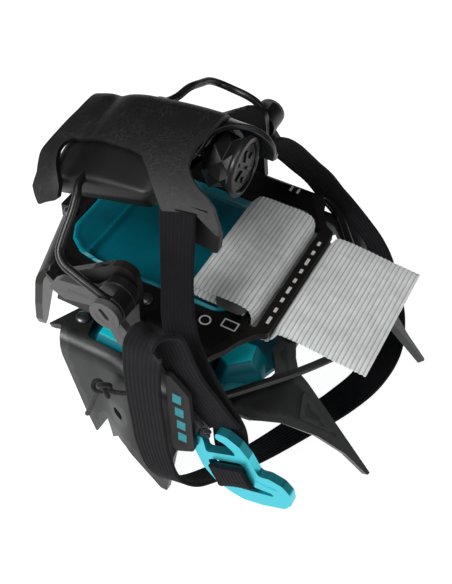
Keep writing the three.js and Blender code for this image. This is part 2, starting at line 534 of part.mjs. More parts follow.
// ---------- hook ----------
function strapHook() {
  const outline = [
    [22, 40.8], [21.2, 38], [22, 33], [24, 25], [27.6, 19.4], [33, 17], [38, 16.2], [45, 18.8], [52.4, 23.4],
    [54.3, 27.6], [53.4, 32], [50.4, 34.9], [46, 35.6], [43, 34.4], [41.4, 37], [39.4, 40.8], [36, 44.8],
    [32, 46.9], [28.5, 46.6], [28.2, 43.6], [31.4, 43.1], [34, 41.4], [35.3, 39.6], [25.7, 34.6], [24.9, 38.4],
    [24.3, 41],
  ];
  const upperWindow = [[26, 31.2], [37.4, 37.1], [39.8, 32.6], [28.4, 26.6]];
  const lowerSlot = [[29.6, 22.9], [41.6, 29.2], [48.6, 28.8], [48.8, 26.6], [42.6, 24.2], [31.6, 18.9]];
  return join([upright(outline, HOOK.front, HOOK.back, [upperWindow, lowerSlot])]);
}
const hookCord = [[19.4, -56.25, 50.6], [21.6, -56.4, 48.4], [23.8, -56.6, 46.2]];
const hookKnot = new THREE.SphereGeometry(1.35, 8, 6).translate(25.6, -56.6, 43.9);
addPart('g_hook', strapHook(), cyanMetal);
addPart('hook_cord', join([rod(hookCord, 0.9, 5)]), strapBlack);
addPart('hook_cord_knot', join([hookKnot]), strapBlack);

crampon.position.set(-CENTRE_X, -CENTRE_Y, 0);

export default crampon;
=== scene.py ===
"""The looks of a folded, packed crampon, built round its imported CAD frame.

Places are worked out in the part's design millimetres (the heel lever's dial axis is y = 0) and put
into the frame's metres by to_row().
"""

import math

import bmesh
import bpy
from mathutils import Matrix, Vector
from mathutils.geometry import delaunay_2d_cdt


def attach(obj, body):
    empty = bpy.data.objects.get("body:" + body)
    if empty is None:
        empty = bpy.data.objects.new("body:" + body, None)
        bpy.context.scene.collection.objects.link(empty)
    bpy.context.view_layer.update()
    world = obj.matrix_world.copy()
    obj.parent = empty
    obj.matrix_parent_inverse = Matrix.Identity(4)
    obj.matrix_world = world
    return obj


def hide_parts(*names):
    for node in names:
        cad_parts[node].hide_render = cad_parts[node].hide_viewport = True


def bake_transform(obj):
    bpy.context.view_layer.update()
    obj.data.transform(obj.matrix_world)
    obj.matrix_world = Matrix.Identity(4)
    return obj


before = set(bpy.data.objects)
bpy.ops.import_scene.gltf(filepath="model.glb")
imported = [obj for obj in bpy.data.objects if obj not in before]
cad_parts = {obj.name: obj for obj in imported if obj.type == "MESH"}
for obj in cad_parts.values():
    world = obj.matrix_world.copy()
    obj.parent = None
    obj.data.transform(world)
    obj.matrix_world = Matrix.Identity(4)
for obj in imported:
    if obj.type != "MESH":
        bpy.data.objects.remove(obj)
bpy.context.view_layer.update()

# ---------- driving dimensions, in millimetres ----------
MM = 0.001
CENTRE = Vector((5.16, -3.15, 0.0))
SHEET = 2.5
FRONT_TOP = 42.0
HEEL_TOP = 56.0
WIRE = 1.3
STRAP_WIDTH = 12.0
STRAP_THICK = 1.4
STRAP_RIBS = 9
LINK_WIDTH = 46.0
LINK_THICK = 1.6
LINK_RIB = 1.45
DIAL_Z = 92.8
HEEL_PIVOT = (-9.5, 72.3)


def to_row(point):
    return (Vector(point) - CENTRE) * MM


# ---------- camera, light and floor ----------
def make_camera():
    azimuth, elevation, roll = (math.radians(a) for a in (25.79, 48.6, 2.84))
    distance = 309.88
    target = (2.29, -0.49, 36.57)
    back = Vector((math.sin(azimuth) * math.cos(elevation), -math.cos(azimuth) * math.cos(elevation),
                   math.sin(elevation)))
    right = Vector((math.cos(azimuth), math.sin(azimuth), 0))
    up = back.cross(right)
    turned_right = right * math.cos(roll) + up * math.sin(roll)
    turned_up = up * math.cos(roll) - right * math.sin(roll)
    camera = bpy.data.objects.new("camera", bpy.data.cameras.new("camera"))
    turn = Matrix((turned_right, turned_up, back)).transposed()
    camera.matrix_world = Matrix.Translation(to_row(target) + back * distance * MM) @ turn.to_4x4()
    camera.data.lens = 56.85
    camera.data.sensor_width = 36.0
    camera.data.clip_start = 0.01
    bpy.context.scene.collection.objects.link(camera)
    bpy.context.scene.camera = camera


def area_light(name, place, aim, size, watts, colour=(1, 1, 1)):
    lamp = bpy.data.lights.new(name, "AREA")
    lamp.shape = "RECTANGLE"
    lamp.size, lamp.size_y = size
    lamp.energy = watts
    lamp.color = colour
    light = bpy.data.objects.new(name, lamp)
    light.location = place
    light.rotation_mode = "QUATERNION"
    light.rotation_quaternion = (Vector(aim) - Vector(place)).to_track_quat("-Z", "Y")
    bpy.context.scene.collection.objects.link(light)


def make_stage():
    world = bpy.data.worlds.new("studio")
    bpy.context.scene.world = world
    world.use_nodes = True
    background = world.node_tree.nodes["Background"]
    background.inputs["Color"].default_value = (1, 1, 1, 1)
    background.inputs["Strength"].default_value = 0.02
    middle = (0, 0, 0.04)
    area_light("key", (-0.45, -0.95, 0.95), middle, (0.7, 0.6), 15.0)
    area_light("fill", (0.95, -0.55, 0.55), middle, (0.6, 0.5), 3.0)
    area_light("top", (-0.1, -0.25, 1.3), middle, (0.7, 0.6), 3.5)
    size = 3.0
    mesh = bpy.data.meshes.new("floor")
    corners = [(-size, -size, 0), (size, -size, 0), (size, size, 0), (-size, size, 0)]
    mesh.from_pydata(corners, [], [(0, 1, 2, 3)])
    floor = bpy.data.objects.new("floor", mesh)
    bpy.context.scene.collection.objects.link(floor)
    paper = bpy.data.materials.new("floor_paper")
    paper.use_nodes = True
    shader = paper.node_tree.nodes["Principled BSDF"]
    shader.inputs["Base Color"].default_value = (0.3, 0.3, 0.3, 1)
    shader.inputs["Roughness"].default_value = 0.9
    shader.inputs["Emission Color"].default_value = (1, 1, 1, 1)
    shader.inputs["Emission Strength"].default_value = 0.95
    mesh.materials.append(paper)
    bpy.context.scene.view_settings.view_transform = "Standard"


# ---------- materials ----------
def node(tree, kind, inputs=None, **settings):
    made = tree.nodes.new("ShaderNode" + kind)
    for name, value in settings.items():
        setattr(made, name, value)
    for name, value in (inputs or {}).items():
        if isinstance(value, bpy.types.NodeSocket):
            tree.links.new(value, made.inputs[name])
        else:
            made.inputs[name].default_value = value
    return made


def new_material(name, base, roughness, metallic=0.0, specular=0.5):
    material = bpy.data.materials.new(name)
    material.use_nodes = True
    shader = material.node_tree.nodes["Principled BSDF"]
    shader.inputs["Base Color"].default_value = (*base, 1)
    shader.inputs["Roughness"].default_value = roughness
    shader.inputs["Metallic"].default_value = metallic
    shader.inputs["Specular IOR Level"].default_value = specular
    return material, material.node_tree, shader


def ramp(tree, factor, stops):
    made = node(tree, "ValToRGB", {"Fac": factor})
    elements = made.color_ramp.elements
    while len(elements) < len(stops):
        elements.new(0.5)
    for element, (place, colour) in zip(elements, stops):
        element.position = place
        element.color = (*colour, 1)
    return made.outputs["Color"]


def scaled(colour, by):
    return tuple(min(1.0, c * by) for c in colour)


def grain(tree, shader, scale, strength, distance):
    """Fine bumps over the surface. It gives back the place on the object and the noise."""
    place = node(tree, "TexCoord").outputs["Object"]
    noise = node(tree, "TexNoise", {"Vector": place, "Scale": scale, "Detail": 4.0, "Roughness": 0.6})
    bump = node(tree, "Bump", {"Height": noise.outputs["Fac"], "Strength": strength, "Distance": distance})
    tree.links.new(bump.outputs["Normal"], shader.inputs["Normal"])
    return place, noise


def mottled(tree, place, base, spread, scale):
    """Base colour that drifts a little over the surface."""
    noise = node(tree, "TexNoise", {"Vector": place, "Scale": scale, "Detail": 3.0})
    return ramp(tree, noise.outputs["Fac"], [(0.3, scaled(base, 1 - spread)),
                                             (0.7, scaled(base, 1 + spread))])


def mix_colour(tree, factor, first, second):
    made = tree.nodes.new("ShaderNodeMix")
    made.data_type = "RGBA"
    for name, value in (("Factor_Float", factor), ("A_Color", first), ("B_Color", second)):
        socket = next(s for s in made.inputs if s.identifier == name)
        if isinstance(value, bpy.types.NodeSocket):
            tree.links.new(value, socket)
        elif name == "Factor_Float":
            socket.default_value = value
        else:
            socket.default_value = (*value, 1)
    return next(s for s in made.outputs if s.identifier == "Result_Color")


def edge_wear_and_glow(tree, body, edge, amount):
    """Paler colour where the surface turns sharply outwards: worn edges on most materials, and on the teal
    plastic painted light, the glow of light through its thin edges.
    """
    pointed = node(tree, "NewGeometry").outputs["Pointiness"]
    wear = node(tree, "MapRange", {"Value": pointed, "From Min": 0.51, "From Max": 0.58, "To Max": amount})
    return mix_colour(tree, wear.outputs["Result"], body, edge)


def coated_steel(name, base, roughness, metallic, edge):
    material, tree, shader = new_material(name, base, roughness, metallic)
    place, noise = grain(tree, shader, 1400.0, 0.25, 0.00006)
    body = mottled(tree, place, base, 0.18, 90.0)
    tree.links.new(edge_wear_and_glow(tree, body, edge, 0.55), shader.inputs["Base Color"])
    rough = node(tree, "MapRange", {"Value": noise.outputs["Fac"], "To Min": roughness - 0.07,
                                    "To Max": roughness + 0.09})
    tree.links.new(rough.outputs["Result"], shader.inputs["Roughness"])
    return material


def plastic(name, base, roughness, edge=None, specular=0.4):
    material, tree, shader = new_material(name, base, roughness, 0.0, specular)
    place, _ = grain(tree, shader, 2200.0, 0.22, 0.00006)
    body = mottled(tree, place, base, 0.10, 120.0)
    tree.links.new(edge_wear_and_glow(tree, body, edge or scaled(base, 1.6), 0.6), shader.inputs["Base Color"])
    return material


def crackled_plastic(name, base, line):
    """Moulded texture of fine straight veins that cross at all angles, like a dry leaf."""
    material, tree, shader = new_material(name, base, 0.55, 0.0, 0.4)
    place = node(tree, "TexCoord").outputs["Object"]
    bend = node(tree, "TexNoise", {"Vector": place, "Scale": 260.0, "Detail": 2.0})
    shifted = node(tree, "MixRGB", {"Fac": 0.0035, "Color1": place, "Color2": bend.outputs["Color"]})
    lines = None
    for scale, width in ((330.0, 0.045), (610.0, 0.06)):
        cells = node(tree, "TexVoronoi", {"Vector": shifted.outputs["Color"], "Scale": scale},
                     feature="DISTANCE_TO_EDGE")
        vein = node(tree, "MapRange", {"Value": cells.outputs["Distance"], "From Min": 0.0,
                                       "From Max": width,
                                       "To Min": 1.0, "To Max": 0.0})
        value = vein.outputs["Result"]
        if lines is not None:
            value = node(tree, "Math", {0: lines, 1: value}, operation="MAXIMUM").outputs[0]
        lines = value
    fade = node(tree, "TexNoise", {"Vector": place, "Scale": 150.0, "Detail": 2.0})
    fading = node(tree, "MapRange", {"Value": fade.outputs["Fac"], "From Min": 0.35, "From Max": 0.68,
                                     "To Min": 0.15, "To Max": 1.0})
    strength = node(tree, "Math", {0: lines, 1: fading.outputs["Result"]}, operation="MULTIPLY").outputs[0]
    body = mottled(tree, place, base, 0.12, 70.0)
    veined = mix_colour(tree, strength, body, line)
    tree.links.new(edge_wear_and_glow(tree, veined, scaled(base, 2.2), 0.5), shader.inputs["Base Color"])
    bump = node(tree, "Bump", {"Height": strength, "Strength": 0.35, "Distance": 0.00008})
    tree.links.new(bump.outputs["Normal"], shader.inputs["Normal"])
    return material


def ribbed_teal(name, base, pale):
    """Moulded plastic with a translucent look: paler where it is thin."""
    material, tree, shader = new_material(name, base, 0.38, 0.0, 0.35)
    place, _ = grain(tree, shader, 1600.0, 0.2, 0.00005)
    drift = node(tree, "TexNoise", {"Vector": place, "Scale": 55.0, "Detail": 2.0})
    body = ramp(tree, drift.outputs["Fac"], [(0.32, scaled(base, 0.8)), (0.68, scaled(base, 1.25))])
    # Painted light: the pale edges stand in for light shining through the thin teal plastic.
    tree.links.new(edge_wear_and_glow(tree, body, pale, 0.9), shader.inputs["Base Color"])
    return material


def anodised(name, base, pale):
    material, tree, shader = new_material(name, base, 0.3, 0.85)
    place, noise = grain(tree, shader, 900.0, 0.12, 0.00004)
    brushed = node(tree, "Mapping", {"Vector": place, "Scale": (60.0, 1200.0, 1200.0)})
    streaks = node(tree, "TexNoise", {"Vector": brushed.outputs["Vector"], "Scale": 3.0, "Detail": 3.0})
    body = ramp(tree, streaks.outputs["Fac"], [(0.3, scaled(base, 0.9)), (0.7, scaled(base, 1.1))])
    tree.links.new(edge_wear_and_glow(tree, body, pale, 0.5), shader.inputs["Base Color"])
    rough = node(tree, "MapRange", {"Value": noise.outputs["Fac"], "To Min": 0.24, "To Max": 0.38})
    tree.links.new(rough.outputs["Result"], shader.inputs["Roughness"])
    return material


def webbing(name, base, dark, pitch_along, pitch_across, sheen, groove=1.0, rib=None):
    """Woven tape. Its UV map is in metres: u across the tape and v along it, with ribs `rib` apart."""
    material, tree, shader = new_material(name, base, 0.88, 0.0, 0.2)
    place = node(tree, "UVMap").outputs["UV"]
    parts = node(tree, "SeparateXYZ", {"Vector": place})
    heights = []
    for socket, pitch in ((parts.outputs["X"], pitch_across), (parts.outputs["Y"], pitch_along)):
        turns = node(tree, "Math", {0: socket, 1: 2 * math.pi / pitch}, operation="MULTIPLY").outputs[0]
        heights.append(node(tree, "Math", {0: turns}, operation="SINE").outputs[0])
    weave = node(tree, "Math", {0: heights[0], 1: heights[1]}, operation="MULTIPLY").outputs[0]
    level = node(tree, "MapRange", {"Value": weave, "From Min": -1.0, "To Min": 0.0, "To Max": 1.0})
    body = mix_colour(tree, level.outputs["Result"], dark, base)
    # Painted shade: between the ribs the tape is darkened towards `groove` times its colour, standing in for
    # the shade in the grooves.
    if rib:
        turns = node(tree, "Math", {0: parts.outputs["Y"], 1: math.pi / rib},
                     operation="MULTIPLY").outputs[0]
        wave = node(tree, "Math", {0: turns}, operation="SINE").outputs[0]
        height = node(tree, "Math", {0: wave}, operation="ABSOLUTE").outputs[0]
        shade = node(tree, "MapRange", {"Value": height, "From Min": 0.12, "From Max": 0.62, "To Min": 1.0,
                                        "To Max": 0.0})
        body = mix_colour(tree, shade.outputs["Result"], body, scaled(base, groove))
    drift = node(tree, "TexNoise", {"Vector": node(tree, "TexCoord").outputs["Object"], "Scale": 240.0,
                                    "Detail": 3.0})
    shade = ramp(tree, drift.outputs["Fac"], [(0.3, (0.82,) * 3), (0.7, (1.0,) * 3)])
    final = node(tree, "MixRGB", {"Fac": 1.0, "Color1": body, "Color2": shade}, blend_type="MULTIPLY")
    tree.links.new(final.outputs["Color"], shader.inputs["Base Color"])
    bump = node(tree, "Bump", {"Height": level.outputs["Result"], "Strength": 0.5, "Distance": 0.00012})
    tree.links.new(bump.outputs["Normal"], shader.inputs["Normal"])
    shader.inputs["Sheen Weight"].default_value = sheen
    shader.inputs["Sheen Roughness"].default_value = 0.5
    return material


def braided(name, base):
    material, tree, shader = new_material(name, base, 0.8, 0.0, 0.25)
    place = node(tree, "TexCoord").outputs["Object"]
    cells = node(tree, "TexVoronoi", {"Vector": place, "Scale": 1500.0})
    bump = node(tree, "Bump", {"Height": cells.outputs["Distance"], "Strength": 0.6, "Distance": 0.00015})
    tree.links.new(bump.outputs["Normal"], shader.inputs["Normal"])
    body = ramp(tree, cells.outputs["Distance"], [(0.1, scaled(base, 1.6)), (0.6, scaled(base, 0.6))])
    tree.links.new(body, shader.inputs["Base Color"])
    shader.inputs["Sheen Weight"].default_value = 0.15
    return material


def printed(name, colour):
    material, tree, shader = new_material(name, colour, 0.6)
    place, _ = grain(tree, shader, 3000.0, 0.2, 0.00003)
    tree.links.new(mottled(tree, place, colour, 0.08, 900.0), shader.inputs["Base Color"])
    return material


MATERIAL_TABLE = {
    coated_steel: {
        "front_steel": ((0.040, 0.041, 0.041), 0.4, 0.8, (0.085, 0.088, 0.086)),
        "heel_steel": ((0.007, 0.006, 0.006), 0.42, 0.5, (0.022, 0.02, 0.018)),
        "bail_wire": ((0.010, 0.010, 0.011), 0.3, 0.3, (0.04, 0.04, 0.04)),
        "bare_steel": ((0.14, 0.14, 0.145), 0.35, 0.9, (0.3, 0.3, 0.3)),
    },
    plastic: {
        "black_plastic": ((0.004, 0.004, 0.0043), 0.45),
        "grey_plastic": ((0.060, 0.060, 0.061), 0.5, (0.10, 0.10, 0.10)),
        "dial_plastic": ((0.009, 0.0092, 0.0095), 0.3, (0.03, 0.03, 0.03)),
        "label_rubber": ((0.012, 0.012, 0.0125), 0.7, (0.024, 0.024, 0.024), 0.2),
    },
    crackled_plastic: {"cover_plastic": ((0.0045, 0.0045, 0.005), (0.024, 0.024, 0.025))},
    ribbed_teal: {
        "teal_plastic": ((0.0, 0.10, 0.135), (0.0, 0.26, 0.33)),
        # Lighter copy of the teal for the blocks' upturned faces: painted light, standing in for the key
        # light on their tops.
        "teal_bright": ((0.0, 0.60, 0.68), (0.02, 0.7, 0.78)),
    },
    webbing: {
        "link_webbing": ((0.86, 0.89, 0.88), (0.70, 0.73, 0.72), 0.0005, 0.0007, 0.05, 0.5, LINK_RIB * MM),
        "strap_webbing": ((0.0078, 0.0070, 0.0092), (0.0042, 0.0038, 0.005), 0.0009, 0.0007, 0.02),
    },
    anodised: {"hook_aluminium": ((0.0, 0.42, 0.54), (0.10, 0.66, 0.74))},
    braided: {"cord": ((0.012, 0.012, 0.013),)},
    printed: {"white_print": ((0.62, 0.62, 0.62),), "teal_print": ((0.0, 0.20, 0.24),)},
}
MATERIALS = {name: make(name, *facts) for make, kinds in MATERIAL_TABLE.items() for name,
             facts in kinds.items()}


# ---------- curves and outlines ----------
def spline(points, station):
    """Centripetal Catmull-Rom curve through points, at a station number that may be a fraction."""
    last = len(points) - 1
    i = min(int(station), last - 1)
    t = station - i
    p1, p2 = points[i], points[i + 1]
    p0 = points[i - 1] if i > 0 else 2 * p1 - p2
    p3 = points[i + 2] if i + 2 <= last else 2 * p2 - p1
    d0, d1, d2 = (max((b - a).length ** 0.5, 1e-4) for a, b in ((p0, p1), (p1, p2), (p2, p3)))
    m1 = ((p1 - p0) / d0 - (p2 - p0) / (d0 + d1) + (p2 - p1) / d1) * d1
    m2 = ((p2 - p1) / d1 - (p3 - p1) / (d1 + d2) + (p3 - p2) / d2) * d1
    return p1 + m1 * t + (3 * (p2 - p1) - 2 * m1 - m2) * t ** 2 + (2 * (p1 - p2) + m1 + m2) * t ** 3


def smooth_path(points, spacing):
    """Points about `spacing` apart along the smooth curve through a rough list of points."""
    knots = [Vector(p) for p in points]
    fine = [spline(knots, i / 12) for i in range(12 * (len(knots) - 1) + 1)]
    lengths = [0.0]
    for a, b in zip(fine, fine[1:]):
        lengths.append(lengths[-1] + (b - a).length)
    count = max(2, round(lengths[-1] / spacing))
    result, at = [], 0
    for k in range(count + 1):
        want = lengths[-1] * k / count
        while at + 2 < len(lengths) and lengths[at + 1] < want:
            at += 1
        share = (want - lengths[at]) / max(lengths[at + 1] - lengths[at], 1e-9)
        result.append(fine[at].lerp(fine[at + 1], share))
    return result


def rounded(outline, radius):
    """An outline with its corners turned into arcs. A third number in a point is its own radius."""
    points = []
    count = len(outline)
    for i, corner in enumerate(outline):
        own = corner[2] if len(corner) > 2 else radius
        here = Vector(corner[:2])
        before, after = Vector(outline[i - 1][:2]), Vector(outline[(i + 1) % count][:2])
        into, out = before - here, after - here
        if own <= 0 or into.length < 1e-6 or out.length < 1e-6:
            points.append(here)
            continue
        half = into.angle(out) / 2
        trim = min(own / max(math.tan(half), 1e-3), 0.45 * into.length, 0.45 * out.length)
        if trim < 0.05 or half > math.radians(87):
            points.append(here)
            continue
        start, end = here + into.normalized() * trim, here + out.normalized() * trim
        steps = 6
        for k in range(steps + 1):
            t = k / steps
            points.append(start * (1 - t) ** 2 + here * 2 * t * (1 - t) + end * t ** 2)
    return points


def mirrored(half):
    """The near half of an outline, closed by its far half."""
    return list(half) + [(p[0], -p[1], *p[2:]) for p in reversed(half)]


def inside(point, outline):
    x, y = point
    found = False
    for a, b in zip(outline, outline[1:] + outline[:1]):
        if (a.y > y) != (b.y > y) and x < (b.x - a.x) * (y - a.y) / (b.y - a.y) + a.x:
            found = not found
    return found


def edge_distance(point, outline):
    best = 1e9
    for a, b in zip(outline, outline[1:] + outline[:1]):
        along = b - a
        t = max(0.0, min(1.0, (point - a).dot(along) / max(along.length_squared, 1e-12)))
        best = min(best, (point - a - along * t).length)
    return best


def filled(outline, holes=(), spacing=2.0):
    """Triangles of even size that fill an outline round its holes: (points, faces) in two dimensions."""
    loops = [list(outline), *[list(hole) for hole in holes]]
    points, edges = [], []
    for loop in loops:
        first = len(points)
        for a, b in zip(loop, loop[1:] + loop[:1]):
            steps = max(1, math.ceil((b - a).length / spacing))
            points.extend(a.lerp(b, k / steps) for k in range(steps))
        count = len(points) - first
        edges.extend((first + k, first + (k + 1) % count) for k in range(count))
    xs, ys = [p.x for p in outline], [p.y for p in outline]
    row = 0
    y = min(ys)
    while y < max(ys):
        x = min(xs) + (spacing / 2 if row % 2 else 0)
        while x < max(xs):
            here = Vector((x, y))
            if inside(here, loops[0]) and not any(inside(here, hole) for hole in loops[1:]):
                if min(edge_distance(here, loop) for loop in loops) > 0.45 * spacing:
                    points.append(here)
            x += spacing
        y += spacing * 0.866
        row += 1
    coordinates, _, faces, *_ = delaunay_2d_cdt(points, edges, [], 0, 1e-5)
    kept = []
    for face in faces:
        middle = sum((coordinates[i] for i in face), Vector((0, 0))) / len(face)
        if inside(middle, loops[0]) and not any(inside(middle, hole) for hole in loops[1:]):
            kept.append(list(face))
    return coordinates, kept


# ---------- meshes ----------
class Shape:
    """Vertices and faces in design millimetres, with optional UV metres for each vertex."""

    def __init__(self, points=(), faces=(), uvs=None):
        self.points = [Vector(p) for p in points]
        self.faces = [list(f) for f in faces]
        self.uvs = uvs

    def add(self, other):
        first = len(self.points)
        self.points.extend(other.points)
        self.faces.extend([i + first for i in face] for face in other.faces)
        return self

    def moved(self, change):
        self.points = [Vector(change(p)) for p in self.points]
        return self

    def mirror(self):
        points = [Vector((p.x, -p.y, p.z)) for p in self.points]
        return Shape(points, [face[::-1] for face in self.faces])

    def both_sides(self):
        return Shape(self.points, self.faces).add(self.mirror())


def skin(rings, close=True, caps=True):
    """Faces over a row of rings with equal point counts."""
    count = len(rings[0])
    points = [p for ring in rings for p in ring]
    faces = []
    for r in range(len(rings) - 1):
        for i in range(count if close else count - 1):
            a, b = r * count + i, r * count + (i + 1) % count
            faces.append([a, b, b + count, a + count])
    if caps and close:
        faces.append(list(range(count))[::-1])
        faces.append([len(points) - count + i for i in range(count)])
    return Shape(points, faces)


def tube(path, radius, sides=20, closed=False, taper=None):
    """Round wire along fine points, its ring carried along without twist."""
    rings = []
    tangents = []
    count = len(path)
    for i in range(count):
        before = path[i - 1] if i > 0 or closed else path[i]
        after = path[(i + 1) % count] if i + 1 < count or closed else path[i]
        tangents.append((after - before).normalized())
    side = tangents[0].orthogonal().normalized()
    for i, (here, tangent) in enumerate(zip(path, tangents)):
        side = (side - tangent * side.dot(tangent)).normalized()
        other = tangent.cross(side)
        size = radius * (taper(i / (count - 1)) if taper else 1)
        turns = [2 * math.pi * k / sides for k in range(sides)]
        rings.append([here + (side * math.cos(a) + other * math.sin(a)) * size for a in turns])
    if closed:
        rings.append(rings[0])
    return skin(rings, caps=not closed)


def lathe(profile, origin, axis, sides=48):
    """A profile of (radius, height) turned about an axis. It starts and ends at radius 0."""
    axis = Vector(axis).normalized()
    side = axis.orthogonal().normalized()
    other = axis.cross(side)
    origin = Vector(origin)
    points, faces, rings = [], [], []
    for radius, height in profile:
        if radius < 1e-6:
            rings.append([len(points)] * sides)
            points.append(origin + axis * height)
            continue
        rings.append(list(range(len(points), len(points) + sides)))
        for k in range(sides):
            turn = 2 * math.pi * k / sides
            points.append(origin + axis * height + (side * math.cos(turn) + other * math.sin(turn)) * radius)
    for low, high in zip(rings, rings[1:]):
        for k in range(sides):
            face = [low[k], low[(k + 1) % sides], high[(k + 1) % sides], high[k]]
            face = list(dict.fromkeys(face))
            if len(face) > 2:
                faces.append(face)
    return Shape(points, faces)


def slab(outline, thick, holes=(), spacing=3.0, radius=0.8):
    """A flat plate from its rounded outline, in x and y, with its top at z 0."""
    edge = rounded(outline, radius)
    cuts = [rounded(hole, radius) for hole in holes]
    points, faces = filled(edge, cuts, spacing)
    top = Shape([(p.x, p.y, 0) for p in points], faces)
    return thicken(top, thick)


def shell_faces(faces, count):
    """The faces of a sheet, of a second skin `count` points further on, and of the rim between them."""
    edges = dict.fromkeys((a, b) for face in faces for a, b in zip(face, face[1:] + face[:1]))
    skins = [list(f) for f in faces] + [[i + count for i in reversed(f)] for f in faces]
    return skins + [[b, a, a + count, b + count] for a, b in edges if (b, a) not in edges]


def thicken(sheet, thick, normals=None):
    """A closed shell from an open sheet, with its second skin `thick` behind it."""
    if normals is None:
        normals = [Vector((0, 0, 0)) for _ in sheet.points]
        for face in sheet.faces:
            a, b, c = (sheet.points[i] for i in face[:3])
            normal = (b - a).cross(c - a)
            for i in face:
                normals[i] += normal
        normals = [n.normalized() for n in normals]
    points = sheet.points + [p - n * thick for p, n in zip(sheet.points, normals)]
    return Shape(points, shell_faces(sheet.faces, len(sheet.points)))


def upright(shape, y_outer):
    """A slab drawn in x and z, stood up with its top face towards the near side at y_outer."""
    return shape.moved(lambda p: (p.x, y_outer - p.z, p.y))


def piece(name, shape, material, body, nodes="", slot=None, bevel=0.0, segments=2, angle=32,
          smooth_levels=0):
    """A finished object that rides on a body and stands for its CAD nodes.

    Its slot argument is not used.
    """
    mesh = bpy.data.meshes.new(name)
    mesh.from_pydata([to_row(p) for p in shape.points], [], shape.faces)
    mesh.validate()
    if shape.uvs:
        layer = mesh.uv_layers.new(name="UVMap")
        for loop in mesh.loops:
            layer.data[loop.index].uv = shape.uvs[loop.vertex_index]
    made = bpy.data.objects.new(name, mesh)
    bpy.context.scene.collection.objects.link(made)
    outwards(made)
    mesh.shade_smooth()
    mesh.set_sharp_from_angle(angle=math.radians(angle))
    mesh.materials.append(MATERIALS[material])
    if smooth_levels:
        rounder = made.modifiers.new("subdivide", "SUBSURF")
        rounder.render_levels = rounder.levels = smooth_levels
    if bevel:
        round_off = made.modifiers.new("bevel", "BEVEL")
        round_off.width = bevel * MM
        round_off.segments = segments
        round_off.limit_method = "ANGLE"
        round_off.angle_limit = math.radians(angle)
        round_off.use_clamp_overlap = True
        made.modifiers.new("normals", "WEIGHTED_NORMAL").keep_sharp = True
    if body:
        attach(made, body)
    if nodes:
        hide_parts(*nodes.split())
    return made


def pair(name, part, shape, material, body, **finish):
    """A right-hand piece and its mirror image on the left."""
    for side, made in (("right", shape), ("left", shape.mirror())):
        piece(f"{name}_{side}_{part}", made, material, body, f"{name}_{side}", **finish)


def outwards(made):
    """Turns the faces of each closed shell outwards."""
    work = bmesh.new()
    work.from_mesh(made.data)
    bmesh.ops.remove_doubles(work, verts=work.verts, dist=1e-7)
    bmesh.ops.recalc_face_normals(work, faces=work.faces)
    work.to_mesh(made.data)
    work.free()


# ---------- sheet metal ----------
def smoothstep(x, low, high):
    t = max(0.0, min(1.0, (x - low) / (high - low)))
    return t * t * (3 - 2 * t)


def folded(distance, angle, radius):
    """How far out and down a point lies that is `distance` past the root line of a fold in a sheet."""
    margin = radius * math.tan(angle / 2)
    if distance <= -margin:
        return distance, 0.0
    if distance >= margin:
        return distance * math.cos(angle), distance * math.sin(angle)
    turn = angle * (distance + margin) / (2 * margin)
    return radius * math.sin(turn) - margin, radius * (1 - math.cos(turn))


class Blade:
    """A point or claw that is folded down from a frame along the line from a to b, out to its tip."""

    def __init__(self, a, b, tip, radius):
        self.a, self.tip, self.radius = Vector((*a, 0)), Vector(tip), radius
        self.span = (Vector(b) - Vector(a)).length
        self.along = (Vector((*b, 0)) - self.a).normalized()
        down = self.tip - self.a
        self.slide = down.dot(self.along)
        across = down - self.along * self.slide
        self.out = Vector((across.x, across.y, 0)).normalized()
        self.angle = math.atan2(-across.z, across.dot(self.out))
        self.reach = across.length

    def flat(self, across, down):
        """A place on the unfolded blade, from its shares of the root line and of the way to the tip."""
        place = self.a + self.along * (across * self.span + down * self.slide) + self.out * down * self.reach
        return place.x, place.y

    def past_root(self, p):
        return (p - self.a).dot(self.out)

    def fold(self, p, top):
        out, down = folded(self.past_root(p), self.angle, self.radius)
        along = (p - self.a).dot(self.along)
        place = self.a + self.along * along + self.out * out
        return Vector((place.x, place.y, top - down))


FRONT_POINT = Blade((39.2, -22.1), (29.9, -46.1), (68.7, -25.6, 11.1 - FRONT_TOP), 13.0)
CLAW = Blade((-56.4, -6.0), (-47.3, -34.7), (-62.2, -13.3, 13.8 - HEEL_TOP), 9.0)
FRONT_RIVETS = ((-30, -37), (30.8, -11))
HEEL_RIVETS = ((-51.4, -10), (-10, -31))


def wall_place(x):
    """Where the front section's side wall stands at x, and how far it leans out."""
    rear = 1 - smoothstep(x, -18, -2)
    return 49 - 1.8 * rear, math.atan((8.2 - 6.6 * rear) / FRONT_TOP)


def wall_point(x, z):
    reach, lean = wall_place(x)
    return x, -reach - (FRONT_TOP - z) / math.cos(lean)


def round_hole(x, y, radius, stretch=0.0, count=20):
    turns = [2 * math.pi * k / count for k in range(count)]
    return [(x + radius * math.cos(a) + math.copysign(stretch, math.cos(a)), y + radius * math.sin(a), 0)
            for a in turns]


def near_and_far(fold_near):
    """The same fold on both sides of the frame."""
    def change(p):
        made = fold_near(Vector((p.x, -abs(p.y), 0)))
        return Vector((made.x, made.y if p.y < 0 else -made.y, made.z))
    return change


def sheet_part(outline, holes, change):
    """A frame cut from one flat sheet and folded on both sides."""
    edge = rounded(mirrored(outline), 1.2)
    points, faces = filled(edge, [rounded(hole, 1.0) for hole in holes], 1.8)
    sheet = Shape([(p.x, p.y, 0) for p in points], faces)
    return thicken(sheet.moved(near_and_far(change)), SHEET)


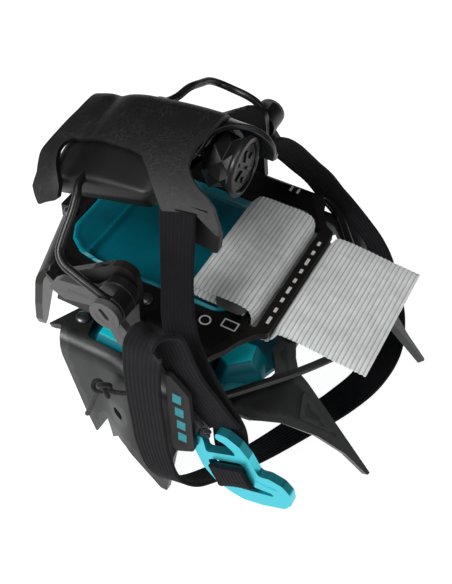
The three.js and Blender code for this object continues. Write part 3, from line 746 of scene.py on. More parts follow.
def front_plate():
    wall = [(-32.5, 40, 3), (-31.8, 34), (-24.7, 10.3, 3), (-21.0, 0, 0.1), (-20.4, 0, 0.1),
            (-15.6, 11, 0.2),
            (-12.6, 4.7, 0.1), (-9.4, 9.8, 0.6), (-5, 10.3, 1), (9.6, 0, 0.4), (11.9, 0, 0.4),
            (12.6, 16, 3),
            (14.5, 25, 4), (22, 31, 4), (23, 38, 3)]
    point = [(1, 0, 2), (0.95, -0.01, 2), (0.86, 0.1, 4), (0.58, 0.25, 8), (0.3, 0.5, 12), (0.13, 0.75, 8),
             (0.05, 1.0, 0.4), (0, 1.0, 0.4)]
    outline = [(-33, -33, 1), (-38.6, -44.8, 0.4), (-34.5, -42.4, 1)]
    outline += [(*wall_point(x, z), *rest) for x, z, *rest in wall]
    outline += [(25.5, -48, 2)]
    outline += [(*FRONT_POINT.flat(across, down), radius) for across, down, radius in point]
    outline += [(39.2, -22.1, 3), (36, -18, 3), (33.6, -13, 4)]
    opening = mirrored([(-27, -34, 3), (-25, -42.6, 3), (-8, -43.2, 5), (14, -43.4, 5), (23, -41.5, 4),
                        (31, -33, 4), (33.0, -26, 3), (28, -18.5, 3)])
    eyelet = [(x, wall_point(x, z)[1], 0) for x, z, _ in round_hole(-9.8, 20.5, 1.5, 0.7)]
    holes = [opening]
    for hole in (eyelet, *[round_hole(x, y, 1.7) for x, y in FRONT_RIVETS]):
        holes += [hole, [(x, -y, *rest) for x, y, *rest in hole]]

    def change(p):
        if p.x > 27:
            if FRONT_POINT.past_root(p) > -6:
                return FRONT_POINT.fold(p, FRONT_TOP)
            return Vector((p.x, p.y, FRONT_TOP))
        reach, lean = wall_place(p.x)
        angle = (math.pi / 2 - lean) * (1 - smoothstep(p.x, 23, 27))
        out, down = folded(-p.y - reach, max(angle, 1e-4), 5.0)
        return Vector((p.x, -reach - out, FRONT_TOP - down))

    made = sheet_part(outline, holes, change)
    ear = slab([(-33, 40.5, 0), (-26, 40.5, 0), (-26, 47, 2), (-27.5, 48.7, 2), (-31.5, 48.7, 2),
                (-33, 47, 2)], SHEET)
    made.add(upright(ear, -27.1).both_sides())
    return made


def point_ribs():
    """Pressed triangular stiffener on each front point."""
    outline = [(*FRONT_POINT.flat(across, down), 1.0) for down, across in ((0.13, 0.12), (0.58, 0.09),
                                                                           (0.29, 0.38))]
    rib = slab(outline, 1.0, (), 1.0)

    def change(p):
        flat = Vector((p.x, p.y, 0))
        steps = (Vector((0, 0, 0)), Vector((-1, 0, 0)), Vector((0, 1, 0)))
        here, inward, sideways = (FRONT_POINT.fold(flat + step, FRONT_TOP) for step in steps)
        outward = (sideways - here).cross(inward - here).normalized()
        return here + outward * (p.z + 0.75)

    return rib.moved(change).both_sides()


def heel_plate():
    tooth = [(-5.5, 54, 2), (-4, 40, 6), (3, 26, 4), (7, 14, 0.4), (9, 14, 0.4), (11, 30, 8), (13.5, 46, 6),
             (15.5, 54, 3)]
    claw = [(0, 0.0, 1), (0, 0.22, 3), (0.25, 0.3, 4), (0.36, 0.5, 6), (0.4, 0.8, 6), (0.42, 1, 0.4),
            (0.5, 1, 0.4), (0.7, 0.8, 8), (0.87, 0.5, 10), (0.99, 0.2, 6), (1, 0, 3)]
    reach = 41.3
    outline = [(-56.8, -3, 1)]
    outline += [(*CLAW.flat(across, down), radius) for across, down, radius in claw]
    outline += [(-38, -38.5, 5), (-19, -39.5, 4), (-17, -42, 2), (-7, -42, 2)]
    outline += [(x, -reach - (HEEL_TOP - z), radius) for x, z, radius in tooth]
    outline += [(17.5, -40, 3), (20, -36, 3), (22, -31, 4), (25.4, -26, 4), (28.4, -24.6, 2)]
    opening = mirrored([(-47.6, -14, 5), (-44.6, -20, 5), (-39, -24, 5), (-32, -25.2, 5), (10, -24.6, 4),
                        (14, -22.6, 3), (15.2, -19, 3)])
    link_slot = [(20.5, -24, 1), (24, -24, 1), (24, 24, 1), (20.5, 24, 1)]
    holes = [opening, link_slot]
    for x, y in HEEL_RIVETS:
        holes += [round_hole(x, y, 1.7), round_hole(x, -y, 1.7)]

    def change(p):
        if p.x < -44:
            if CLAW.past_root(p) > -9:
                return CLAW.fold(p, HEEL_TOP)
            return Vector((p.x, p.y, HEEL_TOP))
        if p.x < -6.2:
            return Vector((p.x, p.y, HEEL_TOP))
        angle = math.radians(90) * (1 - smoothstep(p.x, 15, 19)) * smoothstep(p.x, -6.2, -5.5)
        out, down = folded(-p.y - reach, max(angle, 1e-4), 4.0)
        return Vector((p.x, -reach - out, HEEL_TOP - down))

    made = sheet_part(outline, holes, change)
    lug = slab([(-35, 53.8, 0), (-4, 53.8, 0), (-5, 62, 3), (-5, 74, 3), (-6, 80.2, 3), (-9.4, 81.6, 4),
                (-13.5, 80, 4), (-29.5, 68.6, 4), (-33, 62, 3)], SHEET)
    made.add(upright(lug, -42).both_sides())
    rear = slab([(-8, 47, 1.5), (8, 47, 1.5), (8, 55.6, 0), (-8, 55.6, 0)], SHEET)
    made.add(rear.moved(lambda p: (-56.8 - p.z, -p.x, p.y)))
    return made


def rivet_shape(x, y, top):
    profile = [(0, -4.5), (1.4, -4.4), (1.4, 0.3), (2.35, 0.32), (2.5, 0.5), (2.35, 0.95), (1.8, 1.35),
               (1, 1.55), (0, 1.6)]
    return lathe(profile, (x, y, top), (0, 0, 1), 24)


def make_rivets():
    for places, top, body, prefix, names in (
            (FRONT_RIVETS, FRONT_TOP, "front_section", "front", ("rear", "toe")),
            (HEEL_RIVETS, HEEL_TOP, "heel_section", "heel", ("rear", "side"))):
        for (x, y), place in zip(places, names):
            for side, near in (("right", 1), ("left", -1)):
                node_name = f"{prefix}_rivet_{place}_{side}"
                piece(f"{node_name}_head", rivet_shape(x, y * near, top), "bare_steel", body, node_name,
                      smooth_levels=1)


# ---------- snow-shedding plates ----------
def domed_plate(outline, low, height, spacing, radius):
    """A closed plate from z = low up to height(point, distance to its edge)."""
    edge = rounded(outline, radius)
    points, faces = filled(edge, (), spacing)
    top = [(p.x, p.y, height(p, edge_distance(p, edge))) for p in points]
    bottom = [(p.x, p.y, low) for p in points]
    return Shape(top + bottom, shell_faces(faces, len(points)))


def front_antiball():
    base = mirrored([(-31, -39.6), (-24, -41.4), (-7.2, -41.4), (-7.2, -37.2), (15.2, -37.2), (15.2, -39),
                     (24, -37), (28, -30), (33, -16)])
    return domed_plate(base, 36.6, lambda p, d: 39.2 - 0.7 * max(0.0, 1 - d / 1.2) ** 2, 2.5, 2.0)


def front_antiball_blocks():
    rear = ([(-23, -34.5), (-22.4, -42.6), (-8.4, -42.8), (-9.6, -34.5)],
            [(-21.6, -35.5), (-21.4, -41.4), (-10, -41.6), (-10.8, -35.5)])
    front = ([(15.4, -33.5), (19.5, -36.4), (31, -29.5), (27.6, -20), (16, -20)],
             [(15.8, -31), (19.6, -32.8), (25.4, -27.4), (24.2, -21.4), (16.4, -22)])
    blocks = Shape()
    for low, high in (rear, front):
        rings = [[Vector((x, y, 38.6)) for x, y in low], [Vector((x, y, 44.5)) for x, y in high]]
        blocks.add(skin(rings).both_sides())
    return blocks


def heel_antiball():
    pad = mirrored([(-47.2, -13.8), (-44.3, -19.6), (-38.8, -23.6), (-32, -24.8), (9.8, -24.2),
                    (13.7, -22.3),
                    (14.8, -18.8)])

    def height(p, d):
        rim = 1 - smoothstep(d, 0.8, 3.0)
        corner = smoothstep(d, 0, 0.7)
        step = smoothstep(p.x, -36.4, -34.6)
        ribs = 0.16 * math.sin(2 * math.pi * p.x / 1.7) * smoothstep(p.x, -33, -31)
        shelf = 55.9 - 0.5 * smoothstep(d, 3, 9)
        basin = 54.1 + ribs
        ridge = 0.35 * math.exp(-((p.x + 36.6) / 0.7) ** 2)
        floor = shelf * (1 - step) + basin * step + ridge
        return (floor * (1 - rim) + 56.4 * rim) - 0.6 * (1 - corner)

    flange = mirrored([(-53.6, -7), (-50.6, -15), (-46.6, -24), (-40, -28), (-15, -28), (-14, -34.5),
                       (-6, -34.5),
                       (-5, -28), (14, -27.5), (17, -24), (19.5, -20)])
    made = domed_plate(pad, 52.2, height, 0.85, 4.0)
    return made.add(domed_plate(flange, 51, lambda p, d: 53.2, 4.0, 2.0))


# ---------- wire bails and their holders ----------
def make_bails():
    toe = [(14, 42.9, 45.6), (14, 45.5, 45.6), (14, 46.8, 45.6), (14.4, 48.1, 45.6), (15.4, 48.6, 45.6),
           (17, 48.5, 45.5), (22, 45.6, 45.2), (31.4, 34.5, 44.7), (39.8, 24, 44.6), (47.4, 12.6, 44.6),
           (51.4, 5, 44.6)]
    toe_loop = toe + [(x, -y, z) for x, y, z in reversed(toe)]
    near = [(-9.5, -39.9, 72.3), (-9.5, -43, 72.3), (-9.5, -45.8, 72.3), (-10, -47.6, 72.5),
            (-11.8, -48.4, 73.4),
            (-16, -48.2, 74.9), (-22, -47.6, 76.8), (-26.6, -46.8, 78.4), (-28.8, -45, 80.2),
            (-29.4, -42, 82.8),
            (-29.6, -36, 88.4), (-30.2, -32.6, 91.4), (-31.4, -30, 92.7), (-32, -26, 92.8),
            (-32, -12, 92.8)]
    far = [(-32, 10, 92.8), (-32, 15, 92.2), (-31.6, 20, 89), (-30.6, 24.5, 88.1), (-29.4, 30, 88.6),
           (-28.9, 37, 86.2), (-28.4, 42.6, 83.8), (-26.4, 46.2, 81.2), (-21.8, 47.8, 79.4),
           (-17, 48, 78.6),
           (-13.4, 48.2, 77.2), (-10.8, 48.2, 75), (-10, 47.6, 73), (-9.5, 45.8, 72.3), (-9.5, 43, 72.3),
           (-9.5, 39.9, 72.3)]
    for name, loop in (("toe_bail", toe_loop), ("heel_bail", near + far)):
        piece(f"{name}_wire", tube(smooth_path(loop, 0.8), WIRE, 24), "bail_wire", name, name, angle=60)


def bail_sockets():
    outline = [(10.6, 42.3, 0.3), (17.2, 42.3, 0.3), (17.2, 47, 1.6), (16, 48.5, 1.6), (11.8, 48.5, 1.6),
               (10.6, 47, 1.6)]
    block = upright(slab(outline, 3.4, [round_hole(14, 45.6, 2.3)], 1.5), -46)
    pair("bail_socket", "block", block, "black_plastic", "front_section", bevel=0.35)


def arc_points(centre, radius, start, end, count):
    turns = [math.radians(start + (end - start) * k / (count - 1)) for k in range(count)]
    return [(centre[0] + radius * math.cos(a), centre[1] + radius * math.sin(a), 0) for a in turns]


def bail_holder():
    x, z = HEEL_PIVOT
    tilt = math.radians(-50)
    slot = []
    for end in (-1, 1):
        for k in range(9):
            a = math.radians(-90 * end + 180 * k / 8)
            u, v = end * 1.5 + 0.75 * math.cos(a), 0.75 * math.sin(a)
            slot.append((x + u * math.cos(tilt) - v * math.sin(tilt),
                         z + u * math.sin(tilt) + v * math.cos(tilt), 0))
    made = upright(slab(arc_points((x, z - 0.6), 4.9, 0, 352.5, 48), 2.0, [slot], 1.0), -53)
    leg = [(-12.6, 68.4, 2), (-6.5, 67.6, 2), (-1.6, 61.5, 2), (-2.2, 57.4, 1), (-7.5, 57.4, 1.5)]
    made.add(upright(slab(leg, 2.4, (), 2.0), -50.2))
    wing = [(-34, 62.8, 1.2), (-33, 65.6, 2), (-30, 68.4, 3), (-18, 70.6, 3), (-12.5, 76.5, 2), (-7, 69, 2),
            (-11.4, 64.4, 3), (-17.5, 63.4, 3), (-29, 60.6, 2)]
    made.add(upright(slab(wing, 2.6, (), 2.0), -45.6))
    return made


def holder_hub():
    x, z = HEEL_PIVOT
    made = upright(slab(arc_points((x + 0.3, z + 0.5), 5.5, 0, 352.5, 48), 3.2, (), 2.0), -45.9)
    band = arc_points((x + 0.3, z + 0.3), 5.2, -100, 80, 36) + arc_points((x, z), 3.6, 80, -100, 36)
    return made.add(upright(slab(band, 5.2, (), 1.5), -50.8))


def make_holders():
    finish = {"slot": "grey_plastic", "bevel": 0.5, "segments": 3}
    pair("bail_holder", "clip", bail_holder(), "grey_plastic", "heel_section", **finish)
    # Painted shade: the hub is coloured black plastic, though the holder is one grey part (its slot is given
    # as grey plastic), standing in for the shade on the holder's inner side.
    pair("bail_holder", "hub", holder_hub(), "black_plastic", "heel_section", **finish)


# ---------- heel lever ----------
ARCH_SCALE = 0.5  # flat millimetres for a degree round the cover
ARCH_HALF = 34.0  # half width and height of the near side's arch
ARCH_RISE = 20.0
FAR_STEP = 0.5


def crest(x):
    groove = -0.9 * math.exp(-((x + 37.5) / 2.6) ** 2) + 0.35 * math.exp(-((x + 29) / 5) ** 2)
    return 107.7 - 9.3 * (max(0.0, 2 - x) / 48) ** 2 + groove


def far_profile():
    """The cover's steep far side: (y, drop below the crest) at each step along its surface."""
    y = drop = 0.0
    table = []
    for k in range(100):
        table.append((y, drop))
        slope = math.radians(56) * smoothstep(k * FAR_STEP, -3, 9)
        y += FAR_STEP * math.cos(slope)
        drop += FAR_STEP * math.sin(slope)
    return table


FAR_PROFILE = far_profile()


def on_arch(x, degrees, inset=0.0):
    """A point `inset` under the cover's outer face. Degrees count from the crest to the far side."""
    if degrees <= 0:
        turn = math.radians(degrees)
        return Vector((x, (ARCH_HALF - inset) * math.sin(turn),
                       crest(x) - ARCH_RISE + (ARCH_RISE - inset) * math.cos(turn)))
    place = min(degrees * ARCH_SCALE / FAR_STEP, len(FAR_PROFILE) - 1.1)
    (y0, drop0), (y1, drop1) = FAR_PROFILE[int(place)], FAR_PROFILE[int(place) + 1]
    share = place - int(place)
    along = Vector((0, y1 - y0, drop0 - drop1)).normalized()
    outward = Vector((0, -along.z, along.y))
    return Vector((x, y0 + (y1 - y0) * share, crest(x) - drop0 - (drop1 - drop0) * share)) - outward * inset


def lever_cover():
    near = [(-46.3, 0, 0), (-46.5, -12, 3), (-48, -27, 5), (-49.8, -41, 6), (-47.4, -56, 3),
            (-47.3, -66, 1),
            (-43.8, -82, 1), (-37.4, -73.5, 2), (-38, -63, 3), (-42.2, -48, 4), (-43.4, -40, 3),
            (-43, -35, 3),
            (-41, -31.8, 3), (-36.8, -31, 3), (-27.5, -33, 4), (-20.5, -34, 3), (-16.2, -36, 2.5),
            (-11.8, -44.5, 4),
            (-7, -56, 3), (-3.6, -64.5, 0.8), (5.4, -58.4, 1), (14.4, -67.5, 1), (13.2, -61, 3),
            (9.6, -51, 3),
            (6.6, -46.5, 3), (3.3, -43.7, 3), (0.2, -39.2, 3), (-2.1, -33.9, 3), (-3, -27.6, 3),
            (-3.2, -20.4, 3),
            (-2.6, -13.4, 3), (-2, -4.5, 0)]
    far = [(-2, 4.5, 0), (-2.6, 14, 3), (-2.2, 30, 3), (-1, 50, 3), (1.5, 66, 1), (-5, 66, 1), (-7, 56, 3),
           (-11.8, 44.5, 4), (-16.2, 36, 2.5), (-27.5, 33, 4), (-36.8, 31, 3), (-41, 31.8, 3),
           (-43.4, 40, 3),
           (-42.2, 48, 4), (-38, 63, 3), (-43.8, 76, 1), (-47.3, 62, 1), (-48.4, 44, 3), (-47.6, 27, 3),
           (-46.5, 12, 3)]
    outline = [(x, turn * ARCH_SCALE, radius) for x, turn, radius in near + far]
    points, faces = filled(rounded(outline, 2.0), (), 0.9)
    places = [(p.x, p.y / ARCH_SCALE) for p in points]
    sheet = Shape([on_arch(*place) for place in places], faces)
    normals = [(on_arch(*place) - on_arch(*place, 1.0)).normalized() for place in places]
    return thicken(sheet, 2.0, normals)


def hood():
    """Visor over the dial: it springs from the cover's near side and runs forward to its far side."""
    rim = [(-4.6, -9.6, 100.4), (-3.8, -7.8, 102.1), (-3.4, -5.8, 103.6), (-2.4, -2.8, 104.9),
           (-0.3, 0.9, 105.1),
           (2, 4, 104.3), (4.8, 7, 102.6), (7.4, 9.3, 100), (9.6, 10.8, 96.8), (10.9, 11.4, 93),
           (10.8, 11, 89.4)]
    path = smooth_path(rim, 0.8)
    rings = []
    for i, here in enumerate(path):
        share = i / (len(path) - 1)
        outward = Vector((0, here.y, here.z - DIAL_Z)).normalized()
        depth = 5.2 + 5.0 * share
        thick = 2.3 * (1 - 0.3 * share)
        section = rounded([(0, 0, 0.5), (0, -thick, 0.5), (-depth, -thick, 0.3), (-depth, 0, 0.3)], 0.5)
        rings.append([here + Vector((p.x, 0, 0)) + outward * p.y for p in section])
    return skin(rings)


def pod_section(x, scale):
    floor = 80.5 + (x + 41.5) * 8.5 / 32
    near_half, far_half = -27.8, 22.0
    near = [on_arch(x, -55 + 11 * k, 2.9) for k in range(6)]
    far = [on_arch(x, 12 * k, 2.9) for k in range(1, 6)]
    outline = [(far_half - 3, floor, 3), (near_half + 3, floor, 3), (near_half, floor + 5, 4),
               (near_half, near[0].z, 5)]
    outline += [(p.y, p.z, 0) for p in near[1:]]
    outline += [(p.y, p.z, 0) for p in far if p.y < far_half]
    points = rounded(outline, 3)
    middle = Vector((-2, (floor + crest(x) - 3) / 2))
    return [Vector((x, *(middle + (p - middle) * scale))) for p in points]


def lever_body():
    stations = [(-44.6, 0.88), (-44.3, 0.93), (-43.8, 0.965), (-43, 0.985), (-42, 0.997), (-41, 1)]
    stations += [(-41 + 2.2 * k, 1) for k in range(1, 13)]
    stations += [(-12, 1.0), (-10.6, 0.985), (-9.5, 0.95)]
    rings = [pod_section(x, scale) for x, scale in stations]
    return skin(rings)


def dial_facets():
    """Gem-cut side of the dial: three rings of corners joined by flat triangles."""
    corners = 7
    rings = []
    for x, radius, shift in ((-4.8, 6.4, 0.0), (-2.0, 9.2, 0.5), (1.6, 7.8, 0.0), (5.2, 9.0, 0.5)):
        ring = []
        for k in range(corners):
            turn = 2 * math.pi * (k + shift) / corners
            uneven = 0.55 if k % 2 else 0.0
            reach = radius - (uneven if shift else 0.0)
            ring.append(Vector((x, reach * math.sin(turn), DIAL_Z + reach * math.cos(turn))))
        rings.append(ring)
    points = [p for ring in rings for p in ring]
    faces = []
    for r in range(3):
        for k in range(corners):
            a, b = r * corners + k, r * corners + (k + 1) % corners
            c, d = a + corners, b + corners
            if r % 2 == 0:
                faces += [[a, b, c], [b, d, c]]
            else:
                faces += [[a, d, c], [a, b, d]]
    faces.append(list(range(corners))[::-1])
    faces.append([3 * corners + k for k in range(corners)])
    return Shape(points, faces)


def dial_rim():
    profile = [(0, 4.2), (8.5, 4.2), (9.1, 4.5), (9.4, 5.1), (9.4, 5.9), (9.1, 6.5), (8.6, 6.7), (7.9, 6.7),
               (7.6, 6.4), (7.5, 5.6), (7.2, 5.4), (0, 5.4)]
    return lathe(profile, (0, 0, DIAL_Z), (1, 0, 0), 64)


def dial_face():
    """Recessed cap with raised ticks for the turning direction."""
    profile = [(0, 5.3), (7.1, 5.3), (7.2, 5.6), (7.1, 5.9), (6.5, 5.95), (6.3, 5.7), (0, 5.7)]
    made = lathe(profile, (0, 0, DIAL_Z), (1, 0, 0), 64)
    for k in range(6):
        turn = math.radians(60 * k + 12)
        across = Vector((0, math.cos(turn), -math.sin(turn)))
        outward = Vector((0, math.sin(turn), math.cos(turn)))
        long = 3.6 if k % 2 == 0 else 1.8
        corners = [(-0.55, 5.2), (0.55, 5.2), (0.4, 5.2 - long), (-0.4, 5.2 - long)]
        rings = [[Vector((x, 0, DIAL_Z)) + across * u + outward * v for u, v in corners] for x in (5.6,
                                                                                                   6.3)]
        made.add(skin(rings))
    return made


# ---------- link webbing ----------
def link_band(points):
    """Wide tape along a path in x and z, with raised ribs from edge to edge."""
    path = smooth_path([(x, 0, z) for x, z in points], LINK_RIB / 6)
    across = 16
    rings, uvs = [], []
    travelled = 0.0
    for i, here in enumerate(path):
        before, after = path[max(0, i - 1)], path[min(len(path) - 1, i + 1)]
        travelled += (here - before).length
        tangent = (after - before).normalized()
        through = Vector((-tangent.z, 0, tangent.x))
        rib = abs(math.sin(math.pi * travelled / LINK_RIB)) ** 0.6
        half = LINK_THICK / 2 * (0.66 + 0.34 * rib)
        edge_wave = 0.12 * math.sin(2 * math.pi * travelled / LINK_RIB)
        ring = []
        for side in (1, -1):
            for k in range(across + 1):
                s = side * (1 - 2 * k / across)
                thin = math.sqrt(max(0.0, 1 - max(0.0, (abs(s) - 0.965) / 0.035) ** 2))
                y = s * (LINK_WIDTH / 2 - 0.1 + edge_wave)
                ring.append(here + Vector((0, y, 0)) + through * side * half * (0.25 + 0.75 * thin))
                uvs.append((y * MM, travelled * MM))
        rings.append(ring)
    made = skin(rings)
    made.uvs = uvs
    return made


def make_link():
    strand = [(-25, 43.3), (-29.5, 43.3), (-31.5, 44), (-32.3, 46), (-31.5, 48), (-29.5, 48.8), (-25, 48.9),
              (-12, 48.5), (0, 48.4), (15, 48.6), (23, 50), (28, 50.4)]
    loop = [(19.3, 57.6), (12, 57.6), (5, 57.6), (2.2, 58.1), (0.9, 59.6), (2.2, 61.1), (5, 61.6),
            (12, 61.6),
            (17.5, 61.6), (20.8, 60.6), (22, 58), (22.2, 54.8), (23.2, 52.9), (26, 52.3), (29.2, 52.3)]
    tail = [(28.6, 52.4), (29.6, 53.2), (29.9, 54.6), (30.9, 55.6), (33.4, 55.9), (39, 55.6), (48, 54.6),
            (59.4, 53.6)]
    made = piece("link_web_strand", link_band(strand), "link_webbing", None, "link_strand", angle=60)
    to_row((-20, 0, 48))
    to_row((26, 0, 50))
    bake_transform(made)
    piece("link_web_loop", link_band(loop), "link_webbing", "heel_section", "link_loop", angle=60)
    made = piece("link_web_tail", link_band(tail), "link_webbing", None, "link_tail", angle=60)
    to_row((31, 0, 53))
    to_row((35, 0, 55))
    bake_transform(made)
    bar = mirrored([(9.6, -22.4, 1.2), (11, -24.6, 1.4), (18.6, -24.6, 1.4), (20, -22.4, 1.2)])
    toggle = slab(bar, 1.5).moved(lambda p: (p.x, p.y, p.z + 60.5))
    piece("link_web_toggle", toggle, "grey_plastic", "heel_section", "link_toggle", bevel=0.4, segments=3)
    pin = [(0, -27.2), (1.5, -27.2), (1.75, -26.9), (1.75, -26.3), (1.5, -26), (1.5, 26), (1.75, 26.3),
           (1.75, 26.9), (1.5, 27.2), (0, 27.2)]
    pin = lathe(pin, (-29.5, 0, 46), (0, 1, 0), 24)
    piece("link_pin", pin, "bare_steel", "front_section", "link_anchor_pin")


# ---------- ankle strap ----------
BESIDE = (0.86, 0, 0.51)
FAR_SIDE = (0.8, 0, 0.6)
NEAR_STRAP = [
    ((0.4, -29.0, 97.6), BESIDE), ((1.5, -31.2, 89.4), BESIDE), ((3.2, -34.4, 81.4), BESIDE),
    ((5.6, -38.6, 76.6), BESIDE), ((9, -44, 73), BESIDE), ((13.2, -48.4, 69.2), BESIDE),
    ((19.4, -50.8, 60.6), BESIDE), ((25.6, -51.2, 50.8), BESIDE), ((30, -51.6, 44), BESIDE),
    ((31.8, -52.6, 36.5), BESIDE), ((33.4, -53, 30), BESIDE), ((35, -53.4, 25.6), BESIDE),
    ((36.3, -55.6, 23.6), BESIDE), ((36.2, -57.9, 25.6), BESIDE), ((34.6, -58.3, 29), BESIDE),
    ((32.7, -58.3, 33), BESIDE),
]
LOOP_STRAP = [
    ((29.6, -53.2, 45.6), BESIDE), ((27, -53.8, 49.4), BESIDE), ((22.5, -54.4, 56.4), BESIDE),
    ((18.2, -55, 63), BESIDE), ((15.4, -55.6, 70), BESIDE), ((13.4, -55.9, 76), BESIDE),
    ((12, -56.8, 79.8), BESIDE), ((9.8, -59.0, 80.4), BESIDE), ((8, -60.2, 76.8), BESIDE),
    ((7, -60.2, 69), (0.9, 0, 0.43)), ((6.9, -60.2, 57.4), (0.88, 0, 0.46)),
    ((8.1, -60.2, 40), (0.95, 0, 0.28)),
    ((9.5, -60.2, 27.5), (1, 0, 0.1)), ((13.6, -60, 16), (0.93, -0.05, 0.36)),
    ((18.7, -56.5, 10.8), (0.8, -0.2, 0.56)), ((23.6, -49.6, 8.4), (0.74, -0.3, 0.6)),
    ((32.3, -35.2, 7.4), (0.76, -0.42, 0.5)), ((41, -18, 7), (0.82, -0.45, 0.36)),
    ((48.6, -2, 6.8), (0.87, -0.45, 0.2)), ((53.2, 12, 6.8), (0.98, -0.1, 0.16)),
    ((54, 27, 7.2), (0.97, 0.15, 0.2)), ((50.4, 39, 9.6), (0.9, 0.2, 0.38)), ((45.2, 46.8, 15.4), FAR_SIDE),
    ((39.2, 50, 25), FAR_SIDE), ((34.3, 50.9, 31.2), FAR_SIDE), ((28.9, 51.4, 36.2), FAR_SIDE),
    ((23, 51.6, 41.4), FAR_SIDE), ((16.8, 51.3, 47), FAR_SIDE), ((12, 49.4, 53.6), FAR_SIDE),
    ((7.8, 45.6, 60), FAR_SIDE), ((4.8, 40.9, 66.9), FAR_SIDE), ((3.2, 36.4, 72.4), FAR_SIDE),
    ((1.8, 31.6, 77.2), FAR_SIDE), ((0.6, 27, 80.6), FAR_SIDE),
]


def strap_section():
    """Ribbed cross-section as (share of the half width, share of the half thickness)."""
    per_side = STRAP_RIBS * 6
    top = []
    for k in range(per_side + 1):
        s = 1 - 2 * k / per_side
        groove = (0.5 + 0.5 * math.cos(2 * math.pi * STRAP_RIBS * k / per_side)) ** 3
        thin = math.sqrt(max(0.0, 1 - max(0.0, (abs(s) - 0.9) / 0.1) ** 2))
        top.append((s, (0.2 + 0.8 * thin) * (1 - 0.3 * groove)))
    return top + [(-s, -t) for s, t in top]


def strap_length(stations, start, end, step=0.7):
    """The part of a strap between two stations. Its UV map runs on along the whole strap."""
    centres = [Vector(centre) for centre, _ in stations]
    widths = [Vector(width).normalized() for _, width in stations]
    section = strap_section()
    fine = 40
    rings, uvs, travelled, since = [], [], 0.0, step
    before = centres[0]
    for i in range(int(end * fine) + 1):
        at = i / fine
        here = spline(centres, at)
        travelled += (here - before).length
        since += (here - before).length
        before = here
        if at < start - 1e-9 or (since < step and at < end and at > start):
            continue
        since = 0.0
        low, high = max(0.0, at - 0.02), min(len(stations) - 1.0, at + 0.02)
        tangent = (spline(centres, high) - spline(centres, low)).normalized()
        across = spline(widths, at)
        across = (across - tangent * across.dot(tangent)).normalized()
        through = tangent.cross(across)
        for s, t in section:
            uvs.append((s * STRAP_WIDTH / 2 * MM, travelled * MM))
        rings.append([here + across * s * STRAP_WIDTH / 2 + through * t * STRAP_THICK / 2 for s,
                      t in section])
    made = skin(rings)
    made.uvs = uvs
    return made


def make_straps():
    lengths = [
        ("near_top", NEAR_STRAP, 0, 2, "heel_lever", "heel_bail"),
        ("near_mid", NEAR_STRAP, 2, 4, "heel_bail", "heel_section"),
        ("near_run", NEAR_STRAP, 4, 8, "heel_section", None),
        ("hook_loop", NEAR_STRAP, 8, 15, "heel_section", "strap_hook"),
        ("return", LOOP_STRAP, 0, 10, "heel_section", None),
        ("tail", LOOP_STRAP, 10, 13, "heel_section", "front_section"),
        ("ring", LOOP_STRAP, 13, 22, "front_section", None),
        ("far_run", LOOP_STRAP, 22, 28, "front_section", "heel_section"),
        ("far_mid", LOOP_STRAP, 28, 30, "heel_section", "heel_bail"),
        ("far_top", LOOP_STRAP, 30, 33, "heel_bail", "heel_lever"),
    ]
    for name, stations, start, end, first, second in lengths:
        shape = strap_length(stations, start, end)
        body = None if second else first
        made = piece(f"web_{name}", shape, "strap_webbing", body, f"strap_{name}", angle=60)
        if second:
            to_row(stations[start][0])
            to_row(stations[end][0])
            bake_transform(made)


def label_marks():
    marks = Shape()
    for x0, x1, z0, z1 in ((15.6, 18.4, 55.6, 59.6), (16.4, 19.2, 49.6, 53.6), (17.0, 19.8, 43.6, 47.6),
                           (17.4, 20.2, 37.6, 41.6)):
        marks.add(upright(slab([(x0, z0), (x1, z0), (x1, z1), (x0, z1)], 0.08, (), 3, 0.2), -58.93))
    return marks


def make_label():
    outline = [(13.2, 66.6, 1.0), (15, 67, 1.5), (20.8, 61, 2.5), (22.9, 34.9, 2.5), (15.4, 29.8, 2.0)]
    patch = upright(slab(outline, 1.5, (), 1.4), -58.9)
    start, end = to_row((17, -58, 60)), to_row((20, -58, 38))
    for made in (piece("label_patch", patch, "label_rubber", None, "strap_label", bevel=0.35, segments=3),
                 piece("label_marks", label_marks(), "teal_print", None)):
        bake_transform(made)


# ---------- hook and cords ----------
def g_hook():
    outline = [
        (22, 40.8, 1), (21.2, 38), (22, 33), (25, 26), (29.4, 21.2), (34.4, 18.8), (39, 18), (45.4, 20),
        (52.4, 23.6),
        (54.3, 27.6), (53.4, 32), (50.4, 34.9), (46, 35.6), (43, 34.4), (41.4, 37), (39.4, 40.8),
        (36, 44.8),
        (32, 46.9), (28.5, 46.6), (28.2, 43.6), (31.4, 43.1), (34, 41.4), (35.3, 39.6, 1), (25.7, 34.6, 1),
        (24.9, 38.4), (24.3, 41, 1),
    ]
    window = [(26, 31.2), (37.4, 37.1), (39.8, 32.6), (28.4, 26.6)]
    slot = [(32.6, 23.6), (41, 27.6), (47.8, 28.6), (48.4, 27.4), (42.4, 25.2), (33.6, 22.0)]
    return upright(slab(outline, 2.8, [window, slot], 2.2, 2.2), -57)


def overhand(centre, size, thick):
    """A small overhand knot of round cord, pulled tight."""
    path = []
    for k in range(72):
        t = 2 * math.pi * k / 72
        across = math.sin(t) + 2 * math.sin(2 * t)
        along = math.cos(t) - 2 * math.cos(2 * t)
        path.append(Vector(centre) + Vector((along, -0.8 * math.sin(3 * t), across)) * size)
    return tube(path, thick, 14, closed=True)


def make_hook():
    piece("hook_plate", g_hook(), "hook_aluminium", "strap_hook", "g_hook", bevel=0.6, segments=4)
    line = [(19.4, -56.25, 50.6), (21.6, -56.4, 48.4), (23.8, -56.6, 46.2)]
    made = piece("hook_cord_line", tube(smooth_path(line, 0.4), 0.9, 16), "cord", None, "hook_cord",
                 angle=60)
    to_row(line[0])
    to_row(line[-1])
    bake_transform(made)
    tie = overhand((25.4, -56.7, 44.1), 0.42, 0.62)
    piece("hook_cord_tie", tie, "cord", "strap_hook", "hook_cord_knot", angle=60)


